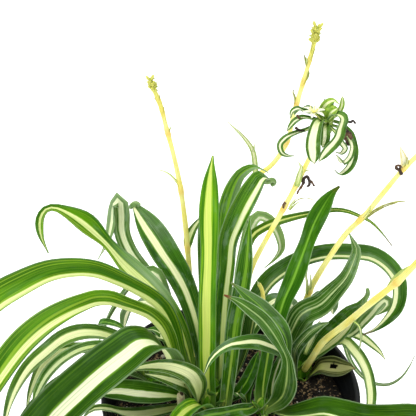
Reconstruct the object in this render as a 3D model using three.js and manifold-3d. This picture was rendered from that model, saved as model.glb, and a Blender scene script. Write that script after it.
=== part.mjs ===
// Potted spider plant: a black nursery pot filled with soil, four leafy crowns, five flower stalks and
// a plantlet. Millimetres, +Z up. The origin is the middle of the pot's flat underside. -Y is the front.
import * as THREE from 'three';
import Module from 'manifold-3d';

const wasm = await Module();
wasm.setup();

// Clearance between pieces that touch
const GAP = 0.3;

// Pot
const POT_HEIGHT = 140;
const RIM_RADIUS = 78;
const BASE_RADIUS = 54;
const BASE_CHAMFER = 2;
const POT_WALL = 1.6;
const FLOOR_THICKNESS = 2.2;
const LIP_WIDTH = 3.6;
const LIP_ROUND = 1.2;
const BAND_HEIGHT = 13;
const BAND_BEVEL = 0.6;
const POT_SIDES = 48;
const DRAIN_COUNT = 6;
const DRAIN_RADIUS = 4;
const DRAIN_CIRCLE = 38;
const DRAIN_SIDES = 10;

// Soil
const SOIL_TOP = 122;
const SOIL_LUMP = 2.2;
const SOIL_RINGS = 7;
const SOIL_SIDES = 36;
const SOIL_SEED = 11;

// Leaf blades
const BLADE_THICKNESS = 0.7;
const BLADE_STEP = 15;
const BLADE_STEPS_LEAST = 6;
const BLADE_STEPS_MOST = 15;
const TIP_WIDTH = 0.9;
const BLADE_PROFILE = [0.6, 0.72, 0.86, 0.96, 1, 1, 1, 0.98, 0.93, 0.8, 0.55, 0.06];
const SMALL_BLADE_FOLD = 25;
const PLANTLET_BLADE_FOLD = [35, 20];

// Crowns: foot depth in the soil, number of sides, the outline below and above the soil as shares of the
// radius and of the depth or rise, and for each crown its middle, radius and top
const CROWN_FOOT = 18;
const CROWN_SIDES = 12;
const CROWN_BELOW = [[0.72, 1], [1, 0.5], [1, 0]];
const CROWN_ABOVE = [[0.92, 0.4], [0.66, 0.75], [0.3, 0.95]];
const CROWNS = {
  left: { x: -15, y: 8, radius: 15, top: 146 },
  right: { x: 20, y: -1, radius: 6, top: 134 },
  back_right: { x: 44, y: 33, radius: 10, top: 134 },
  back_left: { x: -50, y: 24, radius: 8, top: 132 },
};

// Each leaf: name, crown, heading in degrees (0 is +X, 90 is +Y), width, fold and roll in degrees, then
// its middle line. A list of headings, widths, folds or rolls runs evenly from the root to the tip.
const LEAVES = [
  ['leaf_upright_front', 'left', 90, [16, 12, 10.5, 10, 9.5, 14, 10], [30, 12, 8], 0,
    [[-13, -3, 126], [-14, -3, 154], [-14, -3, 182], [-14, -1, 210], [-13, 10, 238], [-13, 17, 262],
      [-12, 22, 280], [-11, 23, 290]]],
  ['leaf_upright_back', 'left', 75, [13, 11, 9, 8.5, 9, 9.5, 10.5, 9, 5], [30, 14, 14],
    [0, 10, 15, 12, 15, 50],
    [[-11, 17, 138], [-8, 25, 165], [-5, 33, 190], [-5, 40, 214], [-4, 45, 232], [-2, 48, 243],
      [1, 51, 252], [5, 53, 259], [9, 55, 261], [13, 58, 261], [18, 60, 258], [22, 61, 255]]],
  ['leaf_upright_right', 'left', 72, [20, 13.5, 10.5, 10, 10.5, 13, 15, 11], [35, 16, 12],
    [0, 12, 15, 12, 15, 50],
    [[-6, 6, 136], [-6, 12, 166], [-5, 18, 194], [-3, 24, 215], [-2, 28, 230], [2, 31, 242], [7, 34, 253],
      [12, 38, 261], [16, 43, 264], [21, 48, 259], [25, 50, 254]]],
  ['leaf_short_centre', 'left', 80, [14, 11, 10.5, 10.5, 10.5, 8], [35, 20], 0,
    [[-3, -3, 126], [0, 2, 160], [2, 4, 192], [5, 6, 210], [7, 8, 228], [8, 10, 244], [9, 12, 257]]],
  ['leaf_thin_centre', 'left', 20, 5, [40, 50], 0,
    [[-4, 9, 132], [5, 20, 158], [12, 28, 210], [11, 31, 230], [9, 34, 240]]],
  ['leaf_broad_left', 'left', 118, [14, 13, 11.5, 13, 15.5, 18, 18, 8], [35, 12, 8],
    [0, -15, -20, -20, -20, -45],
    [[-18, 14, 138], [-18, 17, 156], [-21, 20, 176], [-25, 26, 189], [-31, 33, 201], [-39, 40, 212],
      [-45, 46, 220], [-51, 52, 227], [-56, 57, 232], [-59, 60, 234], [-61, 61, 231]]],
  ['leaf_back_left_hook', 'left', 130, [12, 11, 11, 11, 11, 11, 9, 3], [40, 15, 20],
    [0, -25, -30, -30, -30, -40, -110, -130],
    [[-27, 16, 131], [-31, 27, 155], [-39, 42, 172], [-51, 54, 183], [-62, 62, 195], [-67, 67, 207],
      [-67, 70, 220], [-68, 72, 228], [-71, 71, 226], [-73, 68, 214], [-77, 65, 200], [-83, 62, 189]]],
  ['leaf_left_high', 'left', 183, [9, 10, 11, 11, 12.5, 11.5, 7, 12.5, 5, 8, 5], [45, 24, 18, 25, 30],
    [0, -40, -60, -68, -65, -60, -55, -90, -105],
    [[-22, 9, 138], [-28, 12, 168], [-35, 14, 188], [-45, 14, 206], [-61, 16, 225], [-72, 17, 240],
      [-82, 18, 251], [-93, 19, 258], [-98, 20, 259], [-102, 20, 258], [-106, 20, 252], [-107, 20, 240],
      [-104, 20, 227]]],
  ['leaf_left_upper', 'left', 198, [9, 9, 9.5, 9, 11, 15, 15.5, 15, 13], [45, 30, 25, 25, 20],
    [0, -50, -85, -80, -65, -55, -45, -40, -30],
    [[-24, 3, 138], [-29, 1, 166], [-34, -1, 194], [-39, -4, 210], [-45, -7, 220], [-52, -11, 229],
      [-60, -16, 239], [-71, -22, 250], [-81, -28, 256], [-93, -36, 260], [-105, -44, 259],
      [-118, -51, 254], [-134, -58, 238], [-150, -64, 210], [-160, -68, 182], [-164, -70, 158]]],
  ['leaf_left_lower', 'left', 208, [11, 10, 9, 7.5, 10, 13.5, 14, 13, 11], [45, 30, 25, 25, 20],
    [0, -50, -90, -85, -65, -50, -45, -40, -30],
    [[-26, 1, 130], [-32, -5, 166], [-38, -9, 198], [-44, -12, 210], [-50, -16, 218], [-57, -20, 225],
      [-65, -27, 235], [-72, -32, 239], [-78, -38, 241], [-84, -45, 243], [-93, -54, 243],
      [-103, -64, 239], [-113, -75, 230], [-126, -85, 210], [-136, -92, 184], [-141, -95, 158]]],
  ['leaf_left_behind', 'left', 170, 11, [40, 25, 30], 0,
    [[-28.5, 9, 126], [-35, 16, 164], [-40, 24, 196], [-45, 26, 207], [-52, 25, 206], [-62, 24, 194],
      [-72, 23, 177], [-81, 22, 156]]],
  ['leaf_front_left_big', 'left', 226, [9, 13, 22, 25, 25, 24], [40, 30, 16, 14, 18, 20], 0,
    [[-26, -3, 127], [-32, -10, 152], [-35, -17, 176], [-38, -26, 197], [-43, -34, 211], [-50, -40, 217],
      [-59, -46, 214], [-71, -52, 207], [-84, -60, 199], [-97, -70, 190], [-110, -83, 174],
      [-118, -92, 150], [-121, -96, 128]]],
  ['leaf_low_left_one', 'left', 195, [9, 11, 12, 12, 10, 8, 5], [40, 20, 12],
    [0, -40, -80, -60, -45, -40],
    [[-21, -3, 125], [-20, -11, 141], [-20, -15, 159], [-25, -26, 179], [-36, -34, 192], [-45, -37, 195],
      [-52, -39, 195], [-57, -41, 193]]],
  ['leaf_low_left_two', 'left', 206, [6, 8, 9, 8, 6], [40, 25, 15], [0, -60, -80, -60, -60],
    [[-23, -2, 125], [-24, -6, 139], [-25, -11, 152], [-30, -20, 165], [-38, -27, 176], [-44, -30, 181],
      [-48, -31, 183]]],
  ['leaf_low_left_three', 'left', 192, [9, 19, 19], [40, 15, 10], 0,
    [[-27, 5, 124], [-34, 2, 130], [-44, -2, 135], [-56, -6, 141], [-68, -9, 146], [-78, -12, 147]]],
  ['leaf_dried_front', 'left', 195, [9, 12, 13, 12], [20, 10, 30], [0, 15, 40],
    [[-27, 1, 123], [-38, -6, 127], [-52, -13, 131], [-64, -18, 137], [-72, -20, 142], [-80, -22, 144],
      [-88, -24, 138]]],
  ['leaf_front_short', 'left', 248, [7, 10, 12, 11, 11], [35, 25, 20], 0,
    [[-13, -5, 125], [-14, -20, 141], [-19, -26, 153], [-26, -31, 154], [-33, -35, 147],
      [-38, -40, 137]]],
  ['leaf_arch_right', 'left', 358, [12, 8.5, 6.5, 6, 5.5, 3.5, 2.5, 2], [40, 30, 25, 20],
    [0, 40, 60, 60, 55, 55, 60],
    [[-4, 15, 130], [5, 30, 168], [7, 38, 202], [13, 45, 221], [19, 46, 226], [26, 46, 230],
      [35, 45, 234], [43, 44, 237], [59, 43, 241], [66, 42, 241], [73, 42, 238], [81, 41, 234],
      [88, 40, 227], [95, 39, 218]]],
  ['leaf_hook_back', 'left', 350, [11, 9, 7, 8, 8, 7, 7, 4], [40, 30, 20],
    [0, 45, 60, 70, 80, 60, 80, 90],
    [[-6, 21, 131], [3, 42, 158], [9, 56, 200], [13, 59, 219], [17, 61, 224], [22, 62, 222],
      [27, 62, 216], [31, 61, 207], [32, 61, 198], [28, 60, 191], [22, 60, 184]]],
  ['leaf_long_right', 'left', [20, 8, 0, -5], [13, 12, 12, 11, 10.5, 10, 10, 10.5, 11.5, 7],
    [40, 30, 20, 20, 25], [0, 20, 45, 50, 50, 50, 55, 85, 115, 125],
    [[-2, 8, 126], [9, 20, 150], [14, 30, 178], [22, 33, 196], [32, 36, 204], [44, 38, 210],
      [57, 38, 214], [70, 37, 215], [83, 36, 214], [93, 34, 208], [100, 33, 198], [102, 31, 187],
      [101, 30, 177], [96, 29, 168], [89, 28, 161], [82, 28, 157]]],
  ['leaf_back_tall', 'left', 88, [7, 13, 14], [40, 25, 20], 0,
    [[-16, 21, 125], [-14, 44, 184], [-14, 60, 204], [-13, 80, 208], [-10, 106, 192], [-6, 128, 160]]],
  ['leaf_back_low_right', 'left', 62, 13, [40, 25, 20], 0,
    [[-4, 17, 124], [10, 38, 142], [26, 66, 147], [38, 84, 138], [46, 97, 118], [50, 104, 94]]],
  ['leaf_back_low_middle', 'left', 86, 13, [40, 25, 20], 0,
    [[-12, 20, 123], [-9, 44, 139], [-6, 72, 147], [-2, 96, 136], [2, 110, 110]]],
  ['leaf_back_low_left', 'left', 125, 13, [40, 25, 20], 0,
    [[-23, 19, 124], [-34, 42, 142], [-50, 66, 147], [-60, 80, 138], [-70, 93, 118], [-75, 100, 94]]],
  ['leaf_front_low_left', 'left', 242, [7, 12, 12], [40, 25, 20], 0,
    [[-19, -4, 125], [-24, -30, 132], [-40, -58, 145], [-56, -80, 133], [-66, -92, 106]]],
  ['leaf_front_low_middle', 'left', 270, [7, 12, 12], [40, 25, 20], 0,
    [[-9, -4, 124], [-10, -28, 132], [-12, -56, 145], [-14, -82, 140], [-15, -98, 114]]],
  ['leaf_broad_right', 'right', 48, [17, 13, 9.5, 9.5, 10, 12, 10, 16, 18], [50, 25, 14, 12],
    [0, 25, 30, 25, 25],
    [[20, -2, 124], [20, 2, 140], [22, 6, 160], [24, 10, 174], [28, 14, 184], [31, 18, 194],
      [36, 23, 205], [40, 28, 215], [44, 32, 227], [48, 36, 238], [53, 39, 248], [57, 41, 254],
      [61, 42, 258]]],
  ['leaf_low_centre', 'left', 75, [10, 9, 8, 7], [35, 20], 0,
    [[-1, 4, 126], [7, 5, 134], [13, 9, 145], [17, 14, 156]]],
  ['leaf_folded_front', 'right', [90, 90, 100, 140, 180, 190], [11, 15, 15, 8, 5, 8, 9, 9.5, 8],
    [35, 20, 15, 20, 20], [-30, -35, -15, -10, -15, -40, -50, -55, -50],
    [[22, -6, 128], [30, -10, 142], [32, -12, 157], [32, -13, 169], [31, -14, 178], [27, -15, 189],
      [22, -16, 200], [16, -18, 211], [9, -20, 220], [2, -21, 227], [-5, -22, 232]]],
  ['leaf_folded_behind', 'right', [90, 90, 100, 140, 170, 175], [9, 9.5, 8, 5, 7, 11, 11.5, 9.5, 8],
    [40, 20, 15, 20, 20], [-20, -20, -10, -5, -25, -40, -50, -55, -50],
    [[23, 3, 126], [32, 2, 134], [35, 2, 145], [35, 2, 156], [33, 1, 166], [32, 0, 178], [28, -1, 189],
      [21, -2, 199], [14, -4, 210], [6, -6, 220], [-1, -7, 228]]],
  ['leaf_arc_front', 'right', [90, 100, 160, 190, 195], [8, 6, 5, 5, 8, 9, 8, 6, 5], [40, 20, 15, 20],
    [-20, -30, -25, -30, -30, -40, -40, -45, -50],
    [[23, -2, 126], [29, -4, 135], [33, -4, 147], [34, -5, 158], [33, -5, 167], [28, -6, 176],
      [20, -11, 186], [12, -17, 194], [5, -22, 198], [-2, -26, 200], [-8, -29, 198], [-12, -32, 195],
      [-16, -34, 185]]],
  ['leaf_front_cross', 'right', 200, [9, 9, 8.5, 9.5, 9], [40, 25, 20], [0, -30, -40, -40, -35],
    [[16, -1, 126], [12, -9, 131], [4, -16, 137], [-5, -23, 142], [-15, -29, 146], [-23, -32, 145],
      [-28, -36, 141]]],
  ['leaf_front_right', 'right', 340, [10, 12.5, 13, 13.5, 14.5, 15, 14], [40, 20, 18, 22],
    [0, 30, 40, 45, 45, 40],
    [[24, -3, 124], [35, -12, 131], [45, -18, 140], [54, -22, 147], [65, -28, 150], [75, -34, 153],
      [87, -42, 161], [98, -48, 168], [109, -54, 171], [119, -59, 166], [127, -63, 153]]],
  ['leaf_front_low_right', 'right', 295, [7, 12, 12], [40, 25, 20], 0,
    [[20, -5, 123], [24, -27, 131], [38, -54, 145], [52, -76, 133], [58, -86, 106]]],
  ['leaf_striped_right', 'back_right', 60, [12, 11.5, 13, 15, 13.5, 10, 9, 9], [45, 22, 15, 20],
    [0, 15, 10, 0, 0, 10, 30],
    [[38, 32, 127], [36, 25, 150], [38, 24, 165], [43, 23, 179], [53, 21, 188], [60, 19, 200],
      [66, 18, 211], [69, 18, 222], [70, 18, 231], [67, 18, 238], [65, 18, 242]]],
  ['leaf_low_right', 'back_right', 30, [9, 8, 7.5, 8], [40, 25], [0, 35, 35],
    [[43, 26, 126], [40, 19, 152], [44, 16, 165], [49, 15, 173], [54, 15, 177], [58, 15, 179]]],
  ['leaf_dark_right', 'back_right', 25, [11, 12, 13, 15, 14, 10, 7], [45, 25, 20], [0, 20, 30, 35, 40],
    [[44, 31, 125], [48, 30, 134], [54, 29, 143], [61, 28, 154], [68, 27, 166], [73, 26, 177],
      [78, 26, 182], [80, 26, 187], [81, 26, 193]]],
  ['leaf_curl_right', 'back_right', 355, [8, 6, 6, 8, 10, 10, 9, 7], [40, 30, 20],
    [0, 30, 50, 60, 60, 60, 90, 120],
    [[51, 34, 126], [60, 35, 140], [68, 36, 147], [77, 36, 153], [82, 37, 161], [87, 37, 169],
      [91, 37, 176], [95, 37, 179], [98, 37, 175], [95, 37, 169], [91, 37, 165]]],
  ['leaf_on_soil', 'back_right', 335, [9, 9, 11, 13, 11, 8], [25, 10, 5], [0, 20, 40, 45],
    [[50, 23, 124.5], [54, 21, 133], [57, 20, 138], [63, 17, 141], [68, 14, 143], [73, 11, 146],
      [76, 9, 147]]],
  ['leaf_hang_right', 'back_right', 330, [8, 5.5, 6, 7.5, 7, 7, 7, 7], [30, 20, 10],
    [0, 40, 45, 50, 55, 60],
    [[51, 29, 130], [60, 27, 144], [66, 26, 153], [71, 24, 156], [75, 20, 154], [80, 16, 149],
      [84, 12, 142], [86, 8, 135], [87, 5, 129], [87, 2, 121], [86, -1, 111], [85, -4, 102]]],
  ['leaf_hang_thin', 'back_right', 350, [5, 4, 3.5, 3, 2.5, 2, 1.5, 1.5], [30, 20, 10],
    [0, 40, 60, 50, 60],
    [[51, 38, 126], [57, 40, 139], [64, 41, 145], [70, 41, 143], [74, 41, 137], [77, 41, 128],
      [82, 41, 117], [90, 40, 107], [97, 40, 102], [106, 39, 102], [113, 38, 109], [117, 37, 120],
      [119, 36, 131]]],
  ['leaf_small_right', 'back_right', 355, [6, 5, 5, 6, 5.5, 4], [30, 25, 20], [0, 40, 50, 60],
    [[48, 40, 126], [54, 45, 138], [61, 48, 145], [68, 50, 144], [75, 51, 141], [81, 51, 137],
      [88, 51, 133], [94, 50, 128], [100, 49, 122], [104, 48, 116]]],
  ['leaf_back_right_low', 'back_right', 58, 13, [40, 25, 20], 0,
    [[44, 42, 123], [48, 51, 138], [55, 63, 146], [64, 79, 143], [71, 92, 130], [76, 102, 108]]],
  ['leaf_striped_left', 'back_left', 200, 14, [40, 20, 15, 20], 0,
    [[-53, 22, 126], [-57, 19, 148], [-65, 14, 164], [-77, 8, 176], [-88, 3, 181], [-97, -2, 181],
      [-106, -7, 176], [-116, -13, 169], [-124, -20, 158], [-130, -28, 142], [-132, -33, 126]]],
  ['leaf_fold_left', 'back_left', 205, 11, [40, 25, 25], 0,
    [[-55, 22, 126], [-64, 16, 145], [-75, 10, 159], [-89, 4, 167], [-100, 0, 169], [-109, -5, 164],
      [-116, -11, 152], [-121, -17, 138]]],
  ['leaf_strap_left', 'back_left', 212, 10, [40, 25, 20], 0,
    [[-49, 16, 124], [-60, 10, 139], [-74, 4, 151], [-88, -5, 157], [-100, -14, 157], [-112, -24, 151],
      [-122, -33, 141], [-129, -41, 128]]],
];

// Each stalk: name, crown, thickness at the root and at the tip, and its middle line
const STALKS = [
  ['stalk_left', 'left', 4, 2.4,
    [[-21, 16, 135], [-25, 34, 162], [-25, 46, 186], [-26, 50, 208], [-28, 53, 234], [-30, 55, 251],
      [-33, 57, 268], [-37, 59, 286], [-40, 60, 300], [-45, 61, 314]]],
  ['stalk_tall', 'left', 4, 2.4,
    [[-11, 20, 129], [-9, 34, 142], [-5, 48, 156], [-1, 62, 180], [2, 69, 209], [8, 71, 234],
      [15, 72, 245], [24, 73, 252], [33, 74, 268], [36, 75, 286], [41, 76, 309], [45, 78, 328],
      [46, 78, 337]]],
  ['stalk_plantlet', 'left', 3.4, 2.6,
    [[-1, 6, 134], [3, 16, 167], [8, 20, 194], [12, 22, 216], [19, 23, 234], [26, 24, 250], [34, 26, 268],
      [40, 27, 284], [47, 28, 303]]],
  ['stalk_right', 'back_right', 4, 2.4,
    [[44, 37, 128], [44, 37, 160], [48, 33, 189], [58, 25, 224], [65, 26, 237], [73, 24, 250],
      [81, 20, 268], [89, 16, 286], [96, 11, 300], [104, 5, 315], [111, -2, 328]]],
  ['stalk_front_right', 'back_right', 4.2, 3.4,
    [[47, 25, 129], [51, 19, 147], [56, 18, 160], [68, 14, 179], [80, 7, 202], [91, 0, 223],
      [98, -6, 241], [105, -12, 261], [110, -17, 276]]],
  ['stalk_stub', 'right', 3.2, 2.4,
    [[20, 4, 128], [23, 10, 143], [24, 15, 161], [22, 18, 177], [19, 18, 192], [18, 18, 201],
      [15, 18, 208]]],
];

// Bracts on a stalk: distance along it as a share, heading, lift in degrees, length and width
const BRACTS = {
  stalk_left: [[0.47, 40, 60, 20, 4.5], [0.66, 165, 50, 21, 3.2], [0.79, 20, 60, 9, 3],
    [0.9, 190, 60, 8, 3]],
  stalk_tall: [[0.56, 180, 88, 40, 4], [0.72, 20, 70, 9, 3], [0.84, 190, 70, 8, 3],
    [0.93, 30, 70, 7, 2.6]],
  stalk_plantlet: [[0.55, 200, 70, 9, 3], [0.74, 190, 80, 10, 3]],
  stalk_right: [[0.27, 190, 65, 12, 3.6], [0.57, 5, 34, 27, 3], [0.8, 80, 85, 13, 3.4],
    [0.93, 0, 70, 9, 3]],
  stalk_front_right: [[0.68, 10, 70, 26, 5.4], [0.97, 20, 70, 16, 4.6]],
  stalk_stub: [],
};

// Bud clusters at the tips: number, reach and size
const BUD_SPREAD = 0.06;
const BUD_TURN = 2.4;
const BUD_SHARE_OUT = 0.6;
const BUD_NECK = 0.35;
const BUD_SLIM = 0.7;
const BUD_LONG = 1.6;
const BUD_RISE = 0.8;
const BUD_SIDES = 5;
const BUD_RINGS = 4;
const BUDS = {
  stalk_left: [5, 7, 1.7],
  stalk_tall: [7, 9, 1.8],
  stalk_plantlet: [0, 0, 0],
  stalk_right: [6, 8, 1.7],
  stalk_front_right: [0, 0, 0],
  stalk_stub: [0, 0, 0],
};

const STALK_SIDES = 6;
const STALK_STEP = 13;
const STALK_STEPS_MOST = 30;
const BRACT_STEPS = 4;
const BRACT_BEND = 0.5;
const BUD_SEED = 5;
const NECK_SIDES = 4;

// Plantlet: its base, and its leaves as heading, width and middle line
const PLANTLET_BASE = { x: 48, y: 28, z: 306, radius: 4.6, squash: 0.96, sides: 8, rings: 6 };
const PLANTLET_LEAVES = [
  [[240, 270], [8, 8, 8.5, 10, 11], [[47, 27, 309], [43, 22, 315], [41, 17, 313], [40, 15, 306],
    [41, 15, 298],
    [42, 15, 290]]],
  [[330, 260], 6.5, [[49, 26, 309], [52, 22, 315], [55, 19, 315], [54, 17, 310], [53, 16, 305],
    [48, 15, 298], [44, 14, 292]]],
  [[200, 215], 4.5, [[46, 27, 308], [40, 25, 311], [35, 23, 313], [31, 21, 312], [27, 20, 307]]],
  [[195, 215, 270, 330], 3.5, [[45, 26, 308], [40, 23, 307], [37, 22, 306], [32, 21, 305], [27, 20, 303],
    [24, 20, 299], [25, 20, 294], [28, 20, 292], [32, 20, 292]]],
  [[170, 200], 4.5, [[45, 30, 310], [41, 29, 312], [36, 28, 314], [33, 27, 316], [30, 26, 315],
    [29, 26, 311]]],
  [[90, 60, 0], 4.5, [[46, 30, 310], [46, 30, 314], [48, 29, 318], [51, 28, 320], [54, 27, 319]]],
  [[60, 90], 4.5, [[50, 31, 308], [54, 31, 311], [56, 31, 315], [56, 31, 321]]],
  [[50, 30], 7, [[49, 27, 310], [50, 25, 315], [53, 24, 318]]],
  [[350, 330, 290, 250, 210], 4.5, [[51, 28, 308], [55, 27, 307], [58, 26, 305], [61, 25, 302],
    [63, 24, 296], [64, 24, 291], [63, 23, 285], [60, 23, 280], [57, 22, 279], [54, 22, 282]]],
  [[340, 300, 240], 3.5, [[50, 26, 307], [55, 24, 306], [58, 23, 304], [62, 22, 297], [61, 21, 290],
    [58, 21, 287], [54, 21, 292]]],
  [[310, 290, 200], 3, [[49, 25, 307], [53, 20, 305], [56, 19, 300], [58, 19, 297], [56, 19, 294],
    [53, 19, 295]]],
  [[280, 270], 5, [[48, 26, 308], [47, 19, 307], [47, 18, 303], [46, 18, 298]]],
  [88, 6, [[49, 32, 308], [51, 42, 312], [52, 51, 305], [52, 54, 295]]],
  [130, 5, [[46, 31, 308], [38, 39, 310], [33, 46, 302]]],
];
const FLOWER = { x: 39, y: 27, z: 319, petals: 6, reach: 6.5, width: 3, lift: 25, stem: 0.9 };

// Cut, dried leaf stump beside the left crown: radius as shares at the neck and the top
const STUMP = {
  x: -29, y: -15, foot: 112, top: 151, radius: 2.8, neck: 0.9, tip: 0.6, shoulder: 4, lean: 1,
};

// Corners closer together than one part of this scale are one corner
const MERGE_SCALE = 10000;

// Random sequence
const RANDOM_FACTOR = 1664525;
const RANDOM_STEP = 1013904223;
const RANDOM_RANGE = 4294967296;

// A number, or the value of an evenly spaced list at a share of its length
function numberAt(list, share) {
  if (typeof list === 'number') return list;
  const reach = share * (list.length - 1);
  const index = Math.min(Math.floor(reach), list.length - 2);
  const rest = reach - index;
  return list[index] * (1 - rest) + list[index + 1] * rest;
}

function randomSource(seed) {
  let state = seed;
  return () => {
    state = (state * RANDOM_FACTOR + RANDOM_STEP) % RANDOM_RANGE;
    return state / RANDOM_RANGE;
  };
}

function evenPoints(line, step, least, most) {
  const knots = line.map(([x, y, z]) => new THREE.Vector3(x, y, z));
  const curve = new THREE.CatmullRomCurve3(knots, false, 'centripetal');
  const steps = Math.min(most, Math.max(least, Math.round(curve.getLength() / step)));
  return curve.getSpacedPoints(steps);
}

function tangentAt(points, index) {
  const before = points[Math.max(index - 1, 0)];
  const after = points[Math.min(index + 1, points.length - 1)];
  return after.clone().sub(before).normalize();
}

// Rings of equal count, each turning left about the direction of travel, closed at both ends
function loft(rings, evenSplit = false) {
  const positions = [];
  const triangles = [];
  const starts = [];
  for (const ring of rings) {
    starts.push(positions.length / 3);
    for (const point of ring) positions.push(point.x, point.y, point.z);
  }
  for (let i = 0; i + 1 < rings.length; i += 1) {
    const sides = Math.max(rings[i].length, rings[i + 1].length);
    for (let k = 0; k < sides; k += 1) {
      const next = (k + 1) % sides;
      const here = [starts[i] + k, starts[i] + next];
      const there = [starts[i + 1] + k, starts[i + 1] + next];
      if (rings[i].length === 1) {
        triangles.push(starts[i], there[1], there[0]);
      } else if (rings[i + 1].length === 1) {
        triangles.push(here[0], here[1], starts[i + 1]);
      } else if (evenSplit && k >= sides / 2) {
        triangles.push(here[0], here[1], there[0], here[1], there[1], there[0]);
      } else {
        triangles.push(here[0], here[1], there[1], here[0], there[1], there[0]);
      }
    }
  }
  const first = rings[0].length;
  const last = rings[rings.length - 1].length;
  const end = starts[rings.length - 1];
  if (first > 1) closeEnd(triangles, 0, first, false, evenSplit);
  if (last > 1) closeEnd(triangles, end, last, true, evenSplit);
  return solidFrom(positions, triangles);
}

// A flat cap. A blade's cap is two quads side by side, so that a folded section stays inside itself.
function closeEnd(triangles, start, count, forward, blade) {
  const faces = [];
  if (blade) {
    faces.push([0, 1, 4], [0, 4, 5], [1, 2, 3], [1, 3, 4]);
  } else {
    for (let k = 1; k + 1 < count; k += 1) faces.push([0, k, k + 1]);
  }
  for (const [a, b, c] of faces) {
    if (forward) triangles.push(start + a, start + b, start + c);
    else triangles.push(start + a, start + c, start + b);
  }
}

function solidFrom(positions, triangles) {
  const vertProperties = new Float32Array(positions);
  const triVerts = new Uint32Array(triangles);
  return new wasm.Manifold(new wasm.Mesh({ numProp: 3, vertProperties, triVerts }));
}

function solidOfGeometry(geometry, matrix) {
  geometry.applyMatrix4(matrix);
  const corners = geometry.getAttribute('position');
  const seen = new Map();
  const positions = [];
  const renumber = [];
  for (let i = 0; i < corners.count; i += 1) {
    const point = [corners.getX(i), corners.getY(i), corners.getZ(i)];
    const key = point.map((value) => Math.round(value * MERGE_SCALE)).join();
    if (!seen.has(key)) {
      seen.set(key, positions.length / 3);
      positions.push(...point);
    }
    renumber.push(seen.get(key));
  }
  const triangles = [];
  for (let i = 0; i < geometry.index.count; i += 3) {
    const corner = [0, 1, 2].map((k) => renumber[geometry.index.getX(i + k)]);
    if (new Set(corner).size === 3) triangles.push(...corner);
  }
  return solidFrom(positions, triangles);
}

function geometryOf(solid) {
  const mesh = solid.getMesh();
  const geometry = new THREE.BufferGeometry();
  geometry.setAttribute('position', new THREE.BufferAttribute(mesh.vertProperties, 3));
  geometry.setIndex(new THREE.BufferAttribute(mesh.triVerts, 1));
  return geometry;
}

// A folded strap leaf along its middle line, of one thickness, its root and tip cut square
function blade(line, heading, width, fold, roll) {
  const points = evenPoints(line, BLADE_STEP, BLADE_STEPS_LEAST, BLADE_STEPS_MOST);
  const steps = points.length - 1;
  const rings = points.map((centre, i) => {
    const share = i / steps;
    const tangent = tangentAt(points, i);
    const azimuth = THREE.MathUtils.degToRad(numberAt(heading, share));
    const side = new THREE.Vector3(Math.sin(azimuth), -Math.cos(azimuth), 0);
    side.addScaledVector(tangent, -side.dot(tangent)).normalize();
    side.applyAxisAngle(tangent, THREE.MathUtils.degToRad(numberAt(roll, share)));
    const normal = side.clone().cross(tangent);
    const angle = THREE.MathUtils.degToRad(numberAt(fold, share));
    const half = Math.max(TIP_WIDTH, numberAt(width, share) * numberAt(BLADE_PROFILE, share)) / 2;
    const out = side.clone().multiplyScalar(half * Math.cos(angle));
    const rise = normal.clone().multiplyScalar(half * Math.sin(angle));
    const below = centre.clone().addScaledVector(normal, -BLADE_THICKNESS / Math.cos(angle));
    return [
      centre.clone().sub(out).add(rise),
      centre,
      centre.clone().add(out).add(rise),
      below.clone().add(out).add(rise),
      below,
      below.clone().sub(out).add(rise),
    ];
  });
  return loft(rings, true);
}

// A round stalk along its middle line
function tube(points, radiusAt, sides) {
  const steps = points.length - 1;
  const side = new THREE.Vector3(1, 0, 0);
  const rings = points.map((centre, i) => {
    const tangent = tangentAt(points, i);
    side.addScaledVector(tangent, -side.dot(tangent)).normalize();
    const other = tangent.clone().cross(side);
    const radius = radiusAt(i / steps);
    return Array.from({ length: sides }, (unused, k) => {
      const turn = (2 * Math.PI * k) / sides;
      return centre.clone()
        .addScaledVector(side, radius * Math.cos(turn))
        .addScaledVector(other, radius * Math.sin(turn));
    });
  });
  return loft(rings);
}

function circle(radius, z, sides, x = 0, y = 0) {
  return Array.from({ length: sides }, (unused, k) => {
    const turn = (2 * Math.PI * k) / sides;
    return new THREE.Vector3(x + radius * Math.cos(turn), y + radius * Math.sin(turn), z);
  });
}

// Radius of the pot's inner wall at a height
function innerRadius(z) {
  const share = (z - FLOOR_THICKNESS) / (POT_HEIGHT - FLOOR_THICKNESS);
  return (BASE_RADIUS - POT_WALL) * (1 - share) + (RIM_RADIUS - LIP_WIDTH) * share;
}

// A solid turned about a vertical axis from a profile of radius and height, which starts and ends on it
function turnedSolid(profile, sides, x, y) {
  const points = profile.map(([radius, z]) => new THREE.Vector2(radius, z));
  const place = new THREE.Matrix4().makeRotationX(Math.PI / 2);
  place.setPosition(x, y, 0);
  return solidOfGeometry(new THREE.LatheGeometry(points, sides), place);
}

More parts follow.
